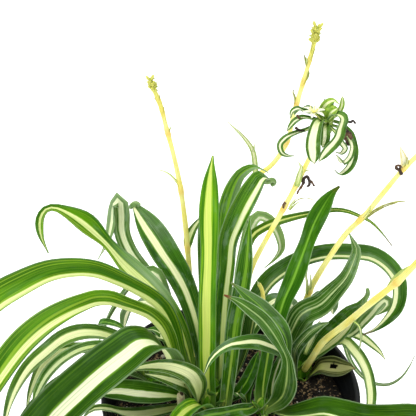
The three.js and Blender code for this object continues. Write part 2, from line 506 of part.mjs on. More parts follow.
function potSolid() {
  const bandFoot = POT_HEIGHT - BAND_HEIGHT;
  const lipTop = POT_HEIGHT - LIP_ROUND;
  const profile = [
    [BASE_RADIUS - BASE_CHAMFER, 0],
    [BASE_RADIUS, BASE_CHAMFER],
    [innerRadius(bandFoot) + POT_WALL, bandFoot],
    [RIM_RADIUS - BAND_BEVEL, bandFoot + BAND_BEVEL],
    [RIM_RADIUS, lipTop],
    [RIM_RADIUS - LIP_ROUND, POT_HEIGHT],
    [RIM_RADIUS - LIP_WIDTH + LIP_ROUND, POT_HEIGHT],
    [RIM_RADIUS - LIP_WIDTH, lipTop],
    [innerRadius(bandFoot), bandFoot],
    [innerRadius(FLOOR_THICKNESS), FLOOR_THICKNESS],
  ];
  profile.unshift([0, 0]);
  profile.push([0, FLOOR_THICKNESS]);
  let pot = turnedSolid(profile, POT_SIDES, 0, 0);
  for (let i = 0; i < DRAIN_COUNT; i += 1) {
    const turn = (2 * Math.PI * (i + 0.5)) / DRAIN_COUNT;
    const drill = new THREE.CylinderGeometry(DRAIN_RADIUS, DRAIN_RADIUS, 4 * FLOOR_THICKNESS,
      DRAIN_SIDES);
    const place = new THREE.Matrix4().makeRotationX(Math.PI / 2);
    place.setPosition(DRAIN_CIRCLE * Math.cos(turn), DRAIN_CIRCLE * Math.sin(turn), 0);
    pot = pot.subtract(solidOfGeometry(drill, place));
  }
  return pot;
}

function crownSolid(crown, grow) {
  const rise = crown.top - SOIL_TOP;
  const below = CROWN_BELOW.map(([share, depth]) => [share, -depth * CROWN_FOOT]);
  const above = CROWN_ABOVE.map(([share, height]) => [share, height * rise]);
  const profile = [...below, ...above].map(([share, z]) => [crown.radius * share + grow, SOIL_TOP + z]);
  profile[0][1] -= grow;
  profile.unshift([0, SOIL_TOP - CROWN_FOOT - grow]);
  profile.push([0, crown.top + grow]);
  return turnedSolid(profile, CROWN_SIDES, crown.x, crown.y);
}

function stumpSolid(grow) {
  const top = STUMP.top + grow;
  const shoulder = STUMP.top - STUMP.shoulder;
  const rings = [
    circle(STUMP.radius + grow, STUMP.foot - grow, STALK_SIDES, STUMP.x, STUMP.y),
    circle(STUMP.radius + grow, SOIL_TOP, STALK_SIDES, STUMP.x, STUMP.y),
    circle(STUMP.radius * STUMP.neck + grow, shoulder, STALK_SIDES, STUMP.x - STUMP.lean, STUMP.y),
    circle(STUMP.radius * STUMP.tip + grow, top, STALK_SIDES, STUMP.x - 2 * STUMP.lean, STUMP.y),
  ];
  return loft(rings);
}

function soilSolid(holes) {
  const random = randomSource(SOIL_SEED);
  const foot = FLOOR_THICKNESS + GAP;
  const edge = innerRadius(SOIL_TOP) - 2 * GAP;
  const rings = [
    [new THREE.Vector3(0, 0, foot)],
    circle(innerRadius(foot) - 2 * GAP, foot, SOIL_SIDES),
    circle(edge, SOIL_TOP - SOIL_LUMP, SOIL_SIDES),
  ];
  for (let i = 1; i < SOIL_RINGS; i += 1) {
    const ring = circle(edge * (1 - i / SOIL_RINGS), SOIL_TOP, SOIL_SIDES);
    ring.forEach((point) => { point.z += SOIL_LUMP * (2 * random() - 1); });
    rings.push(ring);
  }
  rings.push([new THREE.Vector3(0, 0, SOIL_TOP)]);
  return holes.reduce((soil, hole) => soil.subtract(hole), loft(rings));
}

function bractSolid(base, heading, lift, length, width) {
  const azimuth = THREE.MathUtils.degToRad(heading);
  const angle = THREE.MathUtils.degToRad(lift);
  const out = new THREE.Vector3(Math.cos(azimuth), Math.sin(azimuth), 0);
  const line = [0, 0.5, 1].map((share) => {
    const bend = angle - BRACT_BEND * share;
    const point = base.clone().addScaledVector(out, share * length * Math.cos(bend));
    point.z += share * length * Math.sin(bend);
    return [point.x, point.y, point.z];
  });
  return bladeOfSteps(line, heading, width, BRACT_STEPS);
}

function bladeOfSteps(line, heading, width, steps) {
  const curve = new THREE.CatmullRomCurve3(line.map(([x, y, z]) => new THREE.Vector3(x, y, z)));
  const spaced = curve.getSpacedPoints(steps).map((point) => [point.x, point.y, point.z]);
  return blade(spaced, heading, width, SMALL_BLADE_FOLD, 0);
}

function budSolid(centre, size, direction) {
  const ball = new THREE.SphereGeometry(size, BUD_SIDES, BUD_RINGS);
  const turn = new THREE.Quaternion().setFromUnitVectors(new THREE.Vector3(0, 1, 0), direction);
  const shape = new THREE.Vector3(BUD_SLIM, BUD_LONG, BUD_SLIM);
  return solidOfGeometry(ball, new THREE.Matrix4().compose(centre, turn, shape));
}

function stalkSolid(name, thickRoot, thickTip, line) {
  const points = evenPoints(line, STALK_STEP, BLADE_STEPS_LEAST, STALK_STEPS_MOST);
  let stalk = tube(points, (share) => numberAt([thickRoot, thickTip], share) / 2, STALK_SIDES);
  const curve = new THREE.CatmullRomCurve3(points);
  for (const [share, heading, lift, length, width] of BRACTS[name]) {
    stalk = stalk.add(bractSolid(curve.getPointAt(share), heading, lift, length, width));
  }
  const [count, reach, size] = BUDS[name];
  const random = randomSource(BUD_SEED);
  for (let i = 0; i < count; i += 1) {
    const base = curve.getPointAt(1 - (BUD_SPREAD * i) / count);
    const turn = i * BUD_TURN;
    const direction = new THREE.Vector3(Math.cos(turn), Math.sin(turn), BUD_RISE + random()).normalize();
    const centre = base.clone().addScaledVector(direction, reach * BUD_SHARE_OUT);
    const neck = tube([base, centre], () => size * BUD_NECK, NECK_SIDES);
    stalk = stalk.add(neck).add(budSolid(centre, size, direction));
  }
  return stalk;
}

// The plantlet: base, leaves and a small open flower on a short stem
function plantletSolid() {
  const base = new THREE.SphereGeometry(PLANTLET_BASE.radius, PLANTLET_BASE.sides, PLANTLET_BASE.rings);
  const seat = new THREE.Matrix4().makeScale(1, 1, PLANTLET_BASE.squash);
  seat.setPosition(PLANTLET_BASE.x, PLANTLET_BASE.y, PLANTLET_BASE.z);
  let plantlet = solidOfGeometry(base, seat);
  for (const [heading, width, line] of PLANTLET_LEAVES) {
    plantlet = plantlet.add(blade(line, heading, width, PLANTLET_BLADE_FOLD, 0));
  }
  const heart = new THREE.Vector3(FLOWER.x, FLOWER.y, FLOWER.z);
  const foot = new THREE.Vector3(PLANTLET_BASE.x, PLANTLET_BASE.y, PLANTLET_BASE.z);
  plantlet = plantlet.add(tube([foot, heart], () => FLOWER.stem, STALK_SIDES));
  for (let i = 0; i < FLOWER.petals; i += 1) {
    const heading = (360 * i) / FLOWER.petals;
    plantlet = plantlet.add(bractSolid(heart, heading, FLOWER.lift, FLOWER.reach, FLOWER.width));
  }
  return plantlet;
}

const COLOURS = {
  pot: [0x15161a, 0.42],
  soil: [0x221b16, 0.95],
  crown: [0xb9c48a, 0.6],
  leaf: [0x4e8a2c, 0.35],
  dried: [0x9a6f42, 0.7],
  stalk: [0xd9c56a, 0.5],
  plantlet: [0x6ba03c, 0.4],
};

const plant = new THREE.Group();

function place(name, solid, look) {
  const [color, roughness] = COLOURS[look];
  const material = new THREE.MeshStandardMaterial({ color, roughness, metalness: 0 });
  const mesh = new THREE.Mesh(geometryOf(solid), material);
  mesh.name = name;
  plant.add(mesh);
}

const crownNames = Object.keys(CROWNS);
const crownCutters = Object.fromEntries(crownNames.map((key) => [key, crownSolid(CROWNS[key], GAP)]));
const stumpCutter = stumpSolid(GAP);

place('pot', potSolid(), 'pot');
place('soil', soilSolid([...Object.values(crownCutters), stumpCutter]), 'soil');
for (const key of crownNames) place(`crown_${key}`, crownSolid(CROWNS[key], 0), 'crown');
place('stump_dried', stumpSolid(0), 'dried');

for (const [name, crown, heading, width, fold, roll, line] of LEAVES) {
  const leaf = blade(line, heading, width, fold, roll).subtract(crownCutters[crown]);
  place(name, leaf, name.includes('dried') ? 'dried' : 'leaf');
}

let plantlet = plantletSolid();
for (const [name, crown, thickRoot, thickTip, line] of STALKS) {
  place(name, stalkSolid(name, thickRoot, thickTip, line).subtract(crownCutters[crown]), 'stalk');
  if (name !== 'stalk_plantlet') continue;
  const points = evenPoints(line, STALK_STEP, BLADE_STEPS_LEAST, STALK_STEPS_MOST);
  const bore = tube(points, (share) => numberAt([thickRoot, thickTip], share) / 2 + GAP, STALK_SIDES);
  plantlet = plantlet.subtract(bore);
}
place('plantlet', plantlet, 'plantlet');

export default plant;
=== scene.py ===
# Potted spider plant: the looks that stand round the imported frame.
# Metres, +Z up, the front of the plant faces -Y. Table values are millimetres and degrees.
import math
import random

import bmesh
import bpy
from mathutils import Matrix, Quaternion, Vector, noise


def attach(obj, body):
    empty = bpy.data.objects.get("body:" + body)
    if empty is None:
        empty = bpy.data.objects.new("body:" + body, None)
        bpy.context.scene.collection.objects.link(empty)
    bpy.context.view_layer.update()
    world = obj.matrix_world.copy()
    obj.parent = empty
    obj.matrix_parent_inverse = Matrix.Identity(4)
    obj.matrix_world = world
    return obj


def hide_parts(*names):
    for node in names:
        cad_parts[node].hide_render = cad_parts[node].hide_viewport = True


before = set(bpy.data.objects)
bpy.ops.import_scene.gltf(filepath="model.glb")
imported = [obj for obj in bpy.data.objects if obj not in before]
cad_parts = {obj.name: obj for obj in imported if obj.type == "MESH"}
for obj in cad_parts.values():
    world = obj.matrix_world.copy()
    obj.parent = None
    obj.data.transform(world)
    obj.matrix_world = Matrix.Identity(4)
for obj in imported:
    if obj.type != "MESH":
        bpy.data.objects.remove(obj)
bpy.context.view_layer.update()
mm = 0.001
print("frame loaded:", len(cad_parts), "nodes")

weldGap = 1e-6
tiny = 1e-9
upward = Vector((0, 0, 1))


def pieceName(node):  # leaf_left_high becomes leafLeftHigh
    first, *rest = node.split("_")
    return first + "".join(word.capitalize() for word in rest)


def outward(turn):  # level direction at that many degrees
    return Vector((math.cos(math.radians(turn)), math.sin(math.radians(turn)), 0))


def valueAt(values, share):  # a number, or a smooth reading of an evenly spaced list
    if isinstance(values, (int, float)):
        return values
    reach = min(max(share, 0.0), 1.0) * (len(values) - 1)
    index = min(int(reach), len(values) - 2)
    t = reach - index
    before = values[max(index - 1, 0)]
    a, b = values[index], values[index + 1]
    after = values[min(index + 2, len(values) - 1)]
    bend = (2 * before - 5 * a + 4 * b - after) * t * t + (3 * a - before - 3 * b + after) * t * t * t
    return a + 0.5 * ((b - before) * t + bend)


def smoothLine(knots, perSpan=16):  # centripetal spline through the knots, in metres
    points = [Vector(knot) * mm for knot in knots]
    points = [2 * points[0] - points[1]] + points + [2 * points[-1] - points[-2]]
    line = []
    for i in range(1, len(points) - 2):
        p0, p1, p2, p3 = points[i - 1:i + 3]
        d0, d1, d2 = ((b - a).length ** 0.5 for a, b in ((p0, p1), (p1, p2), (p2, p3)))
        m1 = ((p1 - p0) / d0 - (p2 - p0) / (d0 + d1) + (p2 - p1) / d1) * d1
        m2 = ((p2 - p1) / d1 - (p3 - p1) / (d1 + d2) + (p3 - p2) / d2) * d1
        for k in range(perSpan):
            t = k / perSpan
            line.append(p1 + m1 * t + (3 * (p2 - p1) - 2 * m1 - m2) * t * t
                        + (2 * (p1 - p2) + m1 + m2) * t * t * t)
    line.append(points[-2])
    return line


def lineLength(line):
    return sum((b - a).length for a, b in zip(line, line[1:]))


def evenly(line, count):  # the line again, as count equal steps
    reach = [0.0]
    for a, b in zip(line, line[1:]):
        reach.append(reach[-1] + (b - a).length)
    result, j = [], 0
    for i in range(count + 1):
        goal = reach[-1] * i / count
        while j < len(line) - 2 and reach[j + 1] < goal:
            j += 1
        result.append(line[j].lerp(line[j + 1], (goal - reach[j]) / max(reach[j + 1] - reach[j], tiny)))
    return result


def tangentAt(points, i):
    return (points[min(i + 1, len(points) - 1)] - points[max(i - 1, 0)]).normalized()


def addSheet(bm, columns, rows, place, look=None, slot=0, closed=False, tone=None):
    # a grid whose corner (u, v) is moved to place(u, v), with its own UV, look and tone
    uvLayer = bm.loops.layers.uv.get("UVMap") or bm.loops.layers.uv.new("UVMap")
    vectors = bm.verts.layers.float_vector
    lookLayer, toneLayer = (vectors.get(name) or vectors.new(name) for name in ("look", "tone"))
    made = bmesh.ops.create_grid(bm, x_segments=columns, y_segments=rows, size=0.5)["verts"]
    for face in {face for vert in made for face in vert.link_faces}:
        face.smooth = True
        face.material_index = slot
        for loop in face.loops:
            loop[uvLayer].uv = (loop.vert.co.x + 0.5, loop.vert.co.y + 0.5)
    for vert in made:
        u, v = vert.co.x + 0.5, vert.co.y + 0.5
        vert[lookLayer] = look(u, v) if look else Vector((v, 1, 0))
        vert[toneLayer] = tone(v) if tone else Vector((0.5, 0, 0))
        vert.co = place(u, v)
    if closed:
        bmesh.ops.remove_doubles(bm, verts=made, dist=weldGap)


def finishPiece(bm, name, nodes, materials, thickness=0.0):
    # turns a bmesh into a piece that rides on the body and may stand for CAD nodes, its thickness in mm
    mesh = bpy.data.meshes.new(name)
    bm.to_mesh(mesh)
    bm.free()
    piece = bpy.data.objects.new(name, mesh)
    bpy.context.scene.collection.objects.link(piece)
    for material in materials:
        mesh.materials.append(material)
    if thickness:
        shell = piece.modifiers.new("thickness", "SOLIDIFY")
        shell.thickness = thickness * mm
        shell.offset = -1
        shell.use_even_offset = False
        shell.material_offset = 1
    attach(piece, "root")
    if nodes:
        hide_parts(*nodes)
    return piece


# node helpers
def add(tree, kind, inputs=None, **settings):
    node = tree.nodes.new("ShaderNode" + kind)
    for key, value in settings.items():
        setattr(node, key, value)
    for key, value in (inputs or {}).items():
        if isinstance(value, bpy.types.NodeSocket):
            tree.links.new(value, node.inputs[key])
        else:
            node.inputs[key].default_value = value
    return node


def maths(tree, operation, a, b=0.0, clamp=False):
    return add(tree, "Math", {0: a, 1: b}, operation=operation, use_clamp=clamp).outputs[0]


def ramped(tree, value, low, high, outLow=0.0, outHigh=1.0):
    inputs = {"Value": value, "From Min": low, "From Max": high, "To Min": outLow, "To Max": outHigh}
    return add(tree, "MapRange", inputs, interpolation_type="SMOOTHSTEP").outputs[0]


def mixed(tree, factor, a, b, mode="MIX"):
    return add(tree, "Mix", {0: factor, 6: a, 7: b}, data_type="RGBA", blend_type=mode).outputs[2]


def noiseAt(tree, vector, scale, detail=2.0, roughness=0.5):
    inputs = {"Vector": vector, "Scale": scale, "Detail": detail, "Roughness": roughness}
    return add(tree, "TexNoise", inputs).outputs["Fac"]


def attribute(tree, name):
    vector = add(tree, "Attribute", attribute_name=name).outputs["Vector"]
    return add(tree, "SeparateXYZ", {0: vector}).outputs


def grained(tree, tone, fibre, dark, light, share=1.0):  # lets fibres darken and lighten a colour
    grain = ramped(tree, fibre, 0.3, 0.7, dark, light)
    grey = add(tree, "CombineColor", {0: grain, 1: grain, 2: grain}).outputs[0]
    return mixed(tree, share, tone, grey, "MULTIPLY")


def colour(red, green, blue):
    return (red, green, blue, 1.0)


def startMaterial(name, roughness, specular=0.5, coat=0.0):
    material = bpy.data.materials.new(name)
    material.use_nodes = True
    shader = material.node_tree.nodes["Principled BSDF"]
    shader.inputs["Roughness"].default_value = roughness
    shader.inputs["Coat Weight"].default_value = coat
    shader.inputs["Coat Roughness"].default_value = 0.25
    shader.inputs["Specular IOR Level"].default_value = specular
    return material, material.node_tree, shader


def setSurface(tree, shader, tone, height, bump, roughness=None):  # bump is its strength and distance
    tree.links.new(tone, shader.inputs["Base Color"])
    relief = add(tree, "Bump", {"Height": height, "Strength": bump[0], "Distance": bump[1]})
    tree.links.new(relief.outputs[0], shader.inputs["Normal"])
    if roughness:
        tree.links.new(roughness, shader.inputs["Roughness"])


def makeSpeckled(name, specular, noises, base, layers, bump, roughness=None, grain=None):
    # Colours laid over a base by noise. Noises: scale, detail, roughness and a stretch. Layers: noise,
    # from, to, most, colour. Bump, roughness and grain start with the noise they follow.
    material, tree, shader = startMaterial(name, 0.6, specular)
    place = add(tree, "TexCoord").outputs["Object"]
    fields = []
    for scale, detail, rough, *stretch in noises:
        at = add(tree, "Mapping", {"Vector": place, "Scale": stretch}).outputs[0] if stretch else place
        fields.append(noiseAt(tree, at, scale, detail, rough))
    tone = colour(*base)
    for index, low, high, most, tint in layers:
        tone = mixed(tree, ramped(tree, fields[index], low, high, 0.0, most), tone, colour(*tint))
    if grain:
        tone = grained(tree, tone, fields[grain[0]], *grain[1:])
    if roughness:
        roughness = ramped(tree, fields[roughness[0]], 0.3, 0.7, *roughness[1:])
    setSurface(tree, shader, tone, fields[bump[0]], bump[1:], roughness)
    return material


def makeBitMaterial(name, dark, light, scale):  # crumbs, chips and bark
    return makeSpeckled(name, 0.3, [(scale, 2, 0.5), (scale * 7, 3, 0.5)], dark, [(0, 0.4, 0.62, 1.0, light)],
                        bump=(1, 0.6, 0.0004), roughness=(1, 0.7, 0.95), grain=(1, 0.7, 1.1))


# colours painted over a blade: the grey-green spots and the sheen are painted sheen, the pale edge line is
# mostly a painted highlight, and the stripe's yellow-green root is its own colour, partly painted light
# shining through in shade
bladeTones = {
    "bloom": (0.3, 0.42, 0.3), "sheen": (0.42, 0.55, 0.34), "heart": (0.62, 0.78, 0.14),
    "edgeHighlight": (0.45, 0.62, 0.34), "root": (0.3, 0.46, 0.1), "dryTip": (0.2, 0.075, 0.03),
    "under": (0.3, 0.42, 0.2),
}

# noise along a blade: how fast it changes across and along, then its scale, detail and roughness
bladeLanes = {
    "wobble": (0.2, 6.0, 1.0), "edge": (2.0, 9.0, 1.3), "broad": (7.0, 0.8, 1.3, 1.5),
    "threads": (17.0, 1.2, 1.3, 1.0), "veins": (30.0, 4.0, 1.0, 2.0), "patch": (1.4, 7.0, 1.0, 3.0),
    "bloom": (1.1, 11.0, 1.0, 3.0, 0.6),
}

# where each marking starts and is full, and at times the strengths between which it runs
bladeMarks = {
    "stripe": (-0.02, 0.03, 1.0, 0.0), "stripeFade": (0.01, 0.04), "band": (0.03, 0.12, 1.0, 0.0),
    "darkLanes": (0.44, 0.36), "deep": (0.36, 0.62), "lines": (0.57, 0.66), "fine": (0.56, 0.63),
    "bloom": (0.5, 0.68), "sheen": (0.3, 0.6, -0.7, -1.1), "sheenVeins": (0.35, 0.6, 0.7, 1.0),
    "sheenSide": (-0.2, 0.3, 0.1, 1.0), "stripeLines": (0.53, 0.66), "edgeHighlight": (0.9, 0.98),
    "root": (0.14, 0.0), "dryTip": (0.97, 1.0),
}

# how far the stripe wanders and frays, how strong markings are, and how far grain darkens and lightens
bladeShares = {"wobble": 0.12, "edge": 0.09, "lines": 0.35, "fine": 0.8, "band": 0.75, "darkLanes": 0.5,
               "heartDark": 0.3, "heartLines": 0.4, "heart": 0.75, "tipEdge": 0.03, "sheenSpotRoughness": 0.4,
               "grain": (0.8, 1.12, 0.8)}


# stripes, veins, painted sheen and a pale edge line (mostly a painted highlight) that follow a blade.
# UV u runs across it. The attribute look holds share, stripe half width and stripe shift, the attribute tone
# holds tint, darkness and dryness of the tip.
def makeBladePattern():
    tree = bpy.data.node_groups.new("bladePattern", "ShaderNodeTree")
    for label in ("Green", "Deep", "Light", "Cream"):
        tree.interface.new_socket(name=label, in_out="INPUT", socket_type="NodeSocketColor")
    for label in ("Fine", "Margin", "Bloom", "Heart", "Pale Root"):
        tree.interface.new_socket(name=label, in_out="INPUT", socket_type="NodeSocketFloat")
    for label, kind in (("Color", "Color"), ("Height", "Float"), ("Wear", "Float")):
        tree.interface.new_socket(name=label, in_out="OUTPUT", socket_type="NodeSocket" + kind)
    given = tree.nodes.new("NodeGroupInput").outputs
    out = tree.nodes.new("NodeGroupOutput").inputs

    def times(a, b, clamp=False):
        return maths(tree, "MULTIPLY", a, b, clamp)

    def plus(a, b, clamp=False):
        return maths(tree, "ADD", a, b, clamp)

    def lane(name):  # noise stretched along the blade
        across, along, *scale = bladeLanes[name]
        inputs = {0: times(plain, across), 1: times(share, along), 2: seed}
        return noiseAt(tree, add(tree, "CombineXYZ", inputs).outputs[0], *scale)

    def mark(name, value):
        return ramped(tree, value, *bladeMarks[name])

    def centred(value, size):
        return times(maths(tree, "SUBTRACT", value, 0.5), size)

    def painted(body, mask, strength, tone):
        return mixed(tree, times(mask, strength), body, tone if isinstance(tone, bpy.types.NodeSocket)
                     else colour(*bladeTones[tone]))

    shares = bladeShares
    u = add(tree, "SeparateXYZ", {0: add(tree, "UVMap", uv_map="UVMap").outputs[0]}).outputs[0]
    share, stripe, shift = attribute(tree, "look")
    tint, dark, dryness = attribute(tree, "tone")
    seed = times(tint, 41.0)
    plain = centred(u, 2.0)
    wobble = centred(lane("wobble"), shares["wobble"])
    off = maths(tree, "ABSOLUTE", maths(tree, "SUBTRACT", plus(plain, wobble), shift))
    off = plus(off, centred(lane("edge"), shares["edge"]))
    inside = maths(tree, "SUBTRACT", off, stripe)
    creamMask = times(mark("stripe", inside), mark("stripeFade", stripe))
    bandMask = mark("band", inside)
    broad = lane("broad")
    darkMask = mark("darkLanes", broad)
    threads = lane("threads")
    veins = lane("veins")
    patch = lane("patch")
    deepness = plus(plus(mark("deep", patch), times(darkMask, shares["darkLanes"])), dark, clamp=True)
    body = mixed(tree, deepness, given["Green"], given["Deep"])
    body = painted(body, mark("lines", threads), shares["lines"], given["Light"])
    body = painted(body, times(mark("fine", broad), given["Fine"]), shares["fine"], given["Light"])
    # grey-green spots of painted sheen, standing for the white surroundings reflected in the gloss
    sheenSpotMask = times(mark("bloom", lane("bloom")), given["Bloom"])
    body = painted(body, sheenSpotMask, 1.0, "bloom")
    sheen = times(times(dark, mark("sheen", patch), clamp=True), mark("sheenVeins", veins))
    body = painted(body, sheen, mark("sheenSide", plain), "sheen")
    body = painted(body, bandMask, shares["band"], given["Light"])
    heart = mixed(tree, times(darkMask, shares["heartDark"]), given["Cream"], given["Light"])
    lines = times(mark("stripeLines", threads), shares["heartLines"])
    heart = painted(heart, lines, given["Fine"], given["Light"])
    # the stripe's yellow-green root: its own colour, partly painted light shining through the leaf where the
    # stripe lies in shade
    heart = painted(heart, ramped(tree, share, given["Heart"], 0.0, 0.0, shares["heart"]), 1.0, "heart")
    body = mixed(tree, creamMask, body, heart)
    # pale line along both edges: mostly a painted highlight where the rim of the blade catches light
    body = painted(body, mark("edgeHighlight", maths(tree, "ABSOLUTE", plain)), given["Margin"], "edgeHighlight")
    body = painted(body, mark("root", share), given["Pale Root"], "root")
    body = painted(body, mark("dryTip", plus(share, times(patch, shares["tipEdge"]))), dryness, "dryTip")
    tree.links.new(grained(tree, body, veins, *shares["grain"]), out["Color"])
    tree.links.new(veins, out["Height"])
    tree.links.new(plus(patch, times(sheenSpotMask, shares["sheenSpotRoughness"])), out["Wear"])
    return tree


bladePattern = makeBladePattern()

# green, deep green, light line and stripe, then how strong the fine lines, the pale edge line (mostly a
# painted highlight) and the painted grey-green sheen spots are
bladeStyles = {
    "sunny": ((0.1, 0.31, 0.004), (0.05, 0.2, 0.004), (0.36, 0.6, 0.03), (0.72, 0.84, 0.19),
        0.9, 0.2, 0.1),
    "bright": ((0.1, 0.29, 0.004), (0.04, 0.155, 0.003), (0.34, 0.54, 0.04), (0.82, 0.9, 0.38),
        0.7, 0.2, 0.1),
    "fresh": ((0.055, 0.2, 0.012), (0.022, 0.11, 0.006), (0.42, 0.66, 0.1), (0.94, 0.97, 0.66),
        0.1, 0.4, 0.3),
    "striped": ((0.05, 0.165, 0.01), (0.022, 0.09, 0.005), (0.2, 0.4, 0.05), (0.93, 0.95, 0.56),
        0.2, 0.3, 0.25),
    "spring": ((0.055, 0.2, 0.01), (0.022, 0.11, 0.005), (0.38, 0.62, 0.07), (0.94, 0.97, 0.62),
        0.1, 0.4, 0.3),
    "shaded": ((0.038, 0.125, 0.003), (0.02, 0.08, 0.001), (0.16, 0.36, 0.02), (0.93, 0.95, 0.66),
        0.1, 0.3, 0.04),
    "golden": ((0.1, 0.25, 0.01), (0.045, 0.14, 0.006), (0.3, 0.5, 0.03), (0.86, 0.9, 0.3),
        0.3, 0.2, 0.1),
    "lime": ((0.08, 0.25, 0.012), (0.028, 0.12, 0.005), (0.22, 0.46, 0.03), (0.19, 0.4, 0.03),
        0.7, 0.6, 0.3),
    "cream": ((0.07, 0.19, 0.012), (0.03, 0.1, 0.006), (0.34, 0.5, 0.12), (0.87, 0.92, 0.5),
        0.7, 0.3, 0.2),
    "lined": ((0.06, 0.17, 0.016), (0.025, 0.09, 0.008), (0.3, 0.46, 0.15), (0.7, 0.8, 0.42),
        1.0, 0.6, 0.35),
    "plain": ((0.06, 0.19, 0.012), (0.022, 0.085, 0.006), (0.15, 0.34, 0.05), (0.22, 0.44, 0.06),
        0.4, 0.6, 0.3),
    "leafy": ((0.06, 0.21, 0.006), (0.026, 0.12, 0.003), (0.11, 0.3, 0.015), (0.2, 0.44, 0.04),
        0.3, 0.4, 0.12),
    "sage": ((0.06, 0.18, 0.012), (0.03, 0.105, 0.006), (0.22, 0.36, 0.1), (0.4, 0.55, 0.22),
        0.6, 0.7, 0.12),
    "grey": ((0.16, 0.3, 0.08), (0.07, 0.17, 0.03), (0.36, 0.5, 0.2), (0.86, 0.92, 0.6),
        0.5, 0.5, 0.4),
    "pale": ((0.42, 0.62, 0.25), (0.26, 0.46, 0.13), (0.5, 0.66, 0.3), (0.93, 0.96, 0.72),
        0.5, 0.3, 0.3),
    "young": ((0.075, 0.2, 0.02), (0.035, 0.12, 0.008), (0.34, 0.52, 0.12), (0.95, 0.97, 0.68),
        0.3, 0.3, 0.2),
    "tender": ((0.34, 0.52, 0.05), (0.18, 0.36, 0.025), (0.6, 0.75, 0.2), (0.9, 0.97, 0.58),
        0.4, 0.1, 0.1),
    "petal": ((0.9, 0.93, 0.72), (0.84, 0.9, 0.6), (0.95, 0.97, 0.82), (0.97, 0.98, 0.9),
        0.4, 0.0, 0.0),
    "dry": ((0.07, 0.1, 0.018), (0.03, 0.04, 0.01), (0.24, 0.26, 0.09), (0.34, 0.35, 0.14),
        0.9, 0.2, 0.0),
    "sheath": ((0.12, 0.33, 0.012), (0.05, 0.19, 0.006), (0.3, 0.5, 0.05), (0.5, 0.64, 0.12),
        0.8, 0.1, 0.0),
    "olive": ((0.42, 0.44, 0.12), (0.24, 0.27, 0.06), (0.62, 0.64, 0.3), (0.76, 0.78, 0.44),
        0.5, 0.0, 0.0),
    "tan": ((0.85, 0.78, 0.42), (0.7, 0.6, 0.25), (0.93, 0.9, 0.66), (0.95, 0.93, 0.72),
        0.6, 0.0, 0.0),
    "bract": ((0.5, 0.62, 0.2), (0.34, 0.48, 0.13), (0.76, 0.82, 0.4), (0.92, 0.94, 0.62),
        0.6, 0.1, 0.1),
}
heartReach = {"spring": 0.95}  # how far up the stripe's yellow-green root goes, where it isn't 0.55: its own colour, partly painted light shining through where the stripe lies in shade


def makeBladeMaterial(style, under):  # under is for the duller face of a leaf
    *tones, fine, edgeHighlight, bloom = bladeStyles[style]
    name = style + ("Under" if under else "Top")
    material, tree, shader = startMaterial(name, 0.45, 0.05 if under else 0.07)
    inputs = {"Fine": fine, "Margin": edgeHighlight, "Bloom": bloom, "Heart": heartReach.get(style, 0.55),
              "Pale Root": 0.5}
    for label, tone in zip(("Green", "Deep", "Light", "Cream"), tones):
        mix = 0.2 if under and label != "Cream" else 0.0
        inputs[label] = colour(*(c * (1 - mix) + s * mix for c, s in zip(tone, bladeTones["under"])))
    pattern = add(tree, "Group", inputs, node_tree=bladePattern).outputs
    gloss = (0.45, 0.6) if under else (0.28, 0.45)
    setSurface(tree, shader, pattern["Color"], pattern["Height"], (0.35, 0.0004),
               ramped(tree, pattern["Wear"], 0.3, 0.7, *gloss))
    return material


bladeMaterials = {style: [makeBladeMaterial(style, False), makeBladeMaterial(style, True)]
                  for style in bladeStyles}
print("blade materials made:", len(bladeMaterials))


# leaves
bladeForm = {
    "row": 3.6, "leastRows": 14, "mostRows": 96,  # length of a row of faces, and how many a blade may have
    "profile": [0.6, 0.72, 0.86, 0.96, 1, 1, 1, 0.98, 0.93, 0.8, 0.55, 0.06],  # width from root to tip
    "leastWidth": 0.35, "thickness": 0.45, "thinThickness": 0.4,
    "cup": 1.3,  # how sharply the sides rise from the fold
    "ripples": 0.16, "rippleFull": 4,  # waves for each row, and the half width where they are full
}


def addBlade(bm, line, heading, width, fold, roll, look, rows=0, columns=10, foot=0.0, wave=0.5, slot=0,
             profile=bladeForm["profile"]):
    # A folded strap leaf along its line. Foot carries the root straight on into the crown. Look holds the
    # stripe's half width and shift, the tint, the darkness and the dryness of the tip.
    stripe, shift, tint, dark, dry = look
    knots = smoothLine(line)
    long = lineLength(knots) / mm
    rows = rows or max(bladeForm["leastRows"], min(bladeForm["mostRows"], round(long / bladeForm["row"])))
    centres = evenly(knots, rows)
    below = max(0, round(foot / bladeForm["row"]))
    start = (centres[0] - centres[1]).normalized()
    points = [centres[0] + start * foot * mm * k / below for k in range(below, 0, -1)] + centres
    total = rows + below
    frames = []
    for i, centre in enumerate(points):
        share = max(0, i - below) / rows
        tangent = tangentAt(points, i)
        azimuth = math.radians(valueAt(heading, share))
        side = Vector((math.sin(azimuth), -math.cos(azimuth), 0))
        side = (side - side.dot(tangent) * tangent).normalized()
        side.rotate(Quaternion(tangent, math.radians(valueAt(roll, share))))
        half = max(bladeForm["leastWidth"], valueAt(width, share) * valueAt(profile, share)) * mm / 2
        frames.append((centre, side, side.cross(tangent), half, math.radians(valueAt(fold, share)), share))

    def place(u, v):
        centre, side, normal, half, angle, share = frames[min(total, max(0, round(v * total)))]
        across = 2 * u - 1
        edge = abs(across)
        rise = half * math.sin(angle) * edge ** bladeForm["cup"]
        where = Vector((share * rows * bladeForm["ripples"], tint * 37, math.copysign(3, across)))
        rise += wave * mm * noise.noise(where) * edge * edge * min(1.0, half / (bladeForm["rippleFull"] * mm))
        return centre + side * half * math.cos(angle) * across + normal * rise

    def lookAt(u, v):
        share = max(0, v * total - below) / rows
        return Vector((share, valueAt(stripe, share), valueAt(shift, share)))

    def toneAt(v):
        return Vector((tint, valueAt(dark, max(0, v * total - below) / rows), dry))

    addSheet(bm, columns, total, place, lookAt, slot=slot, tone=toneAt)


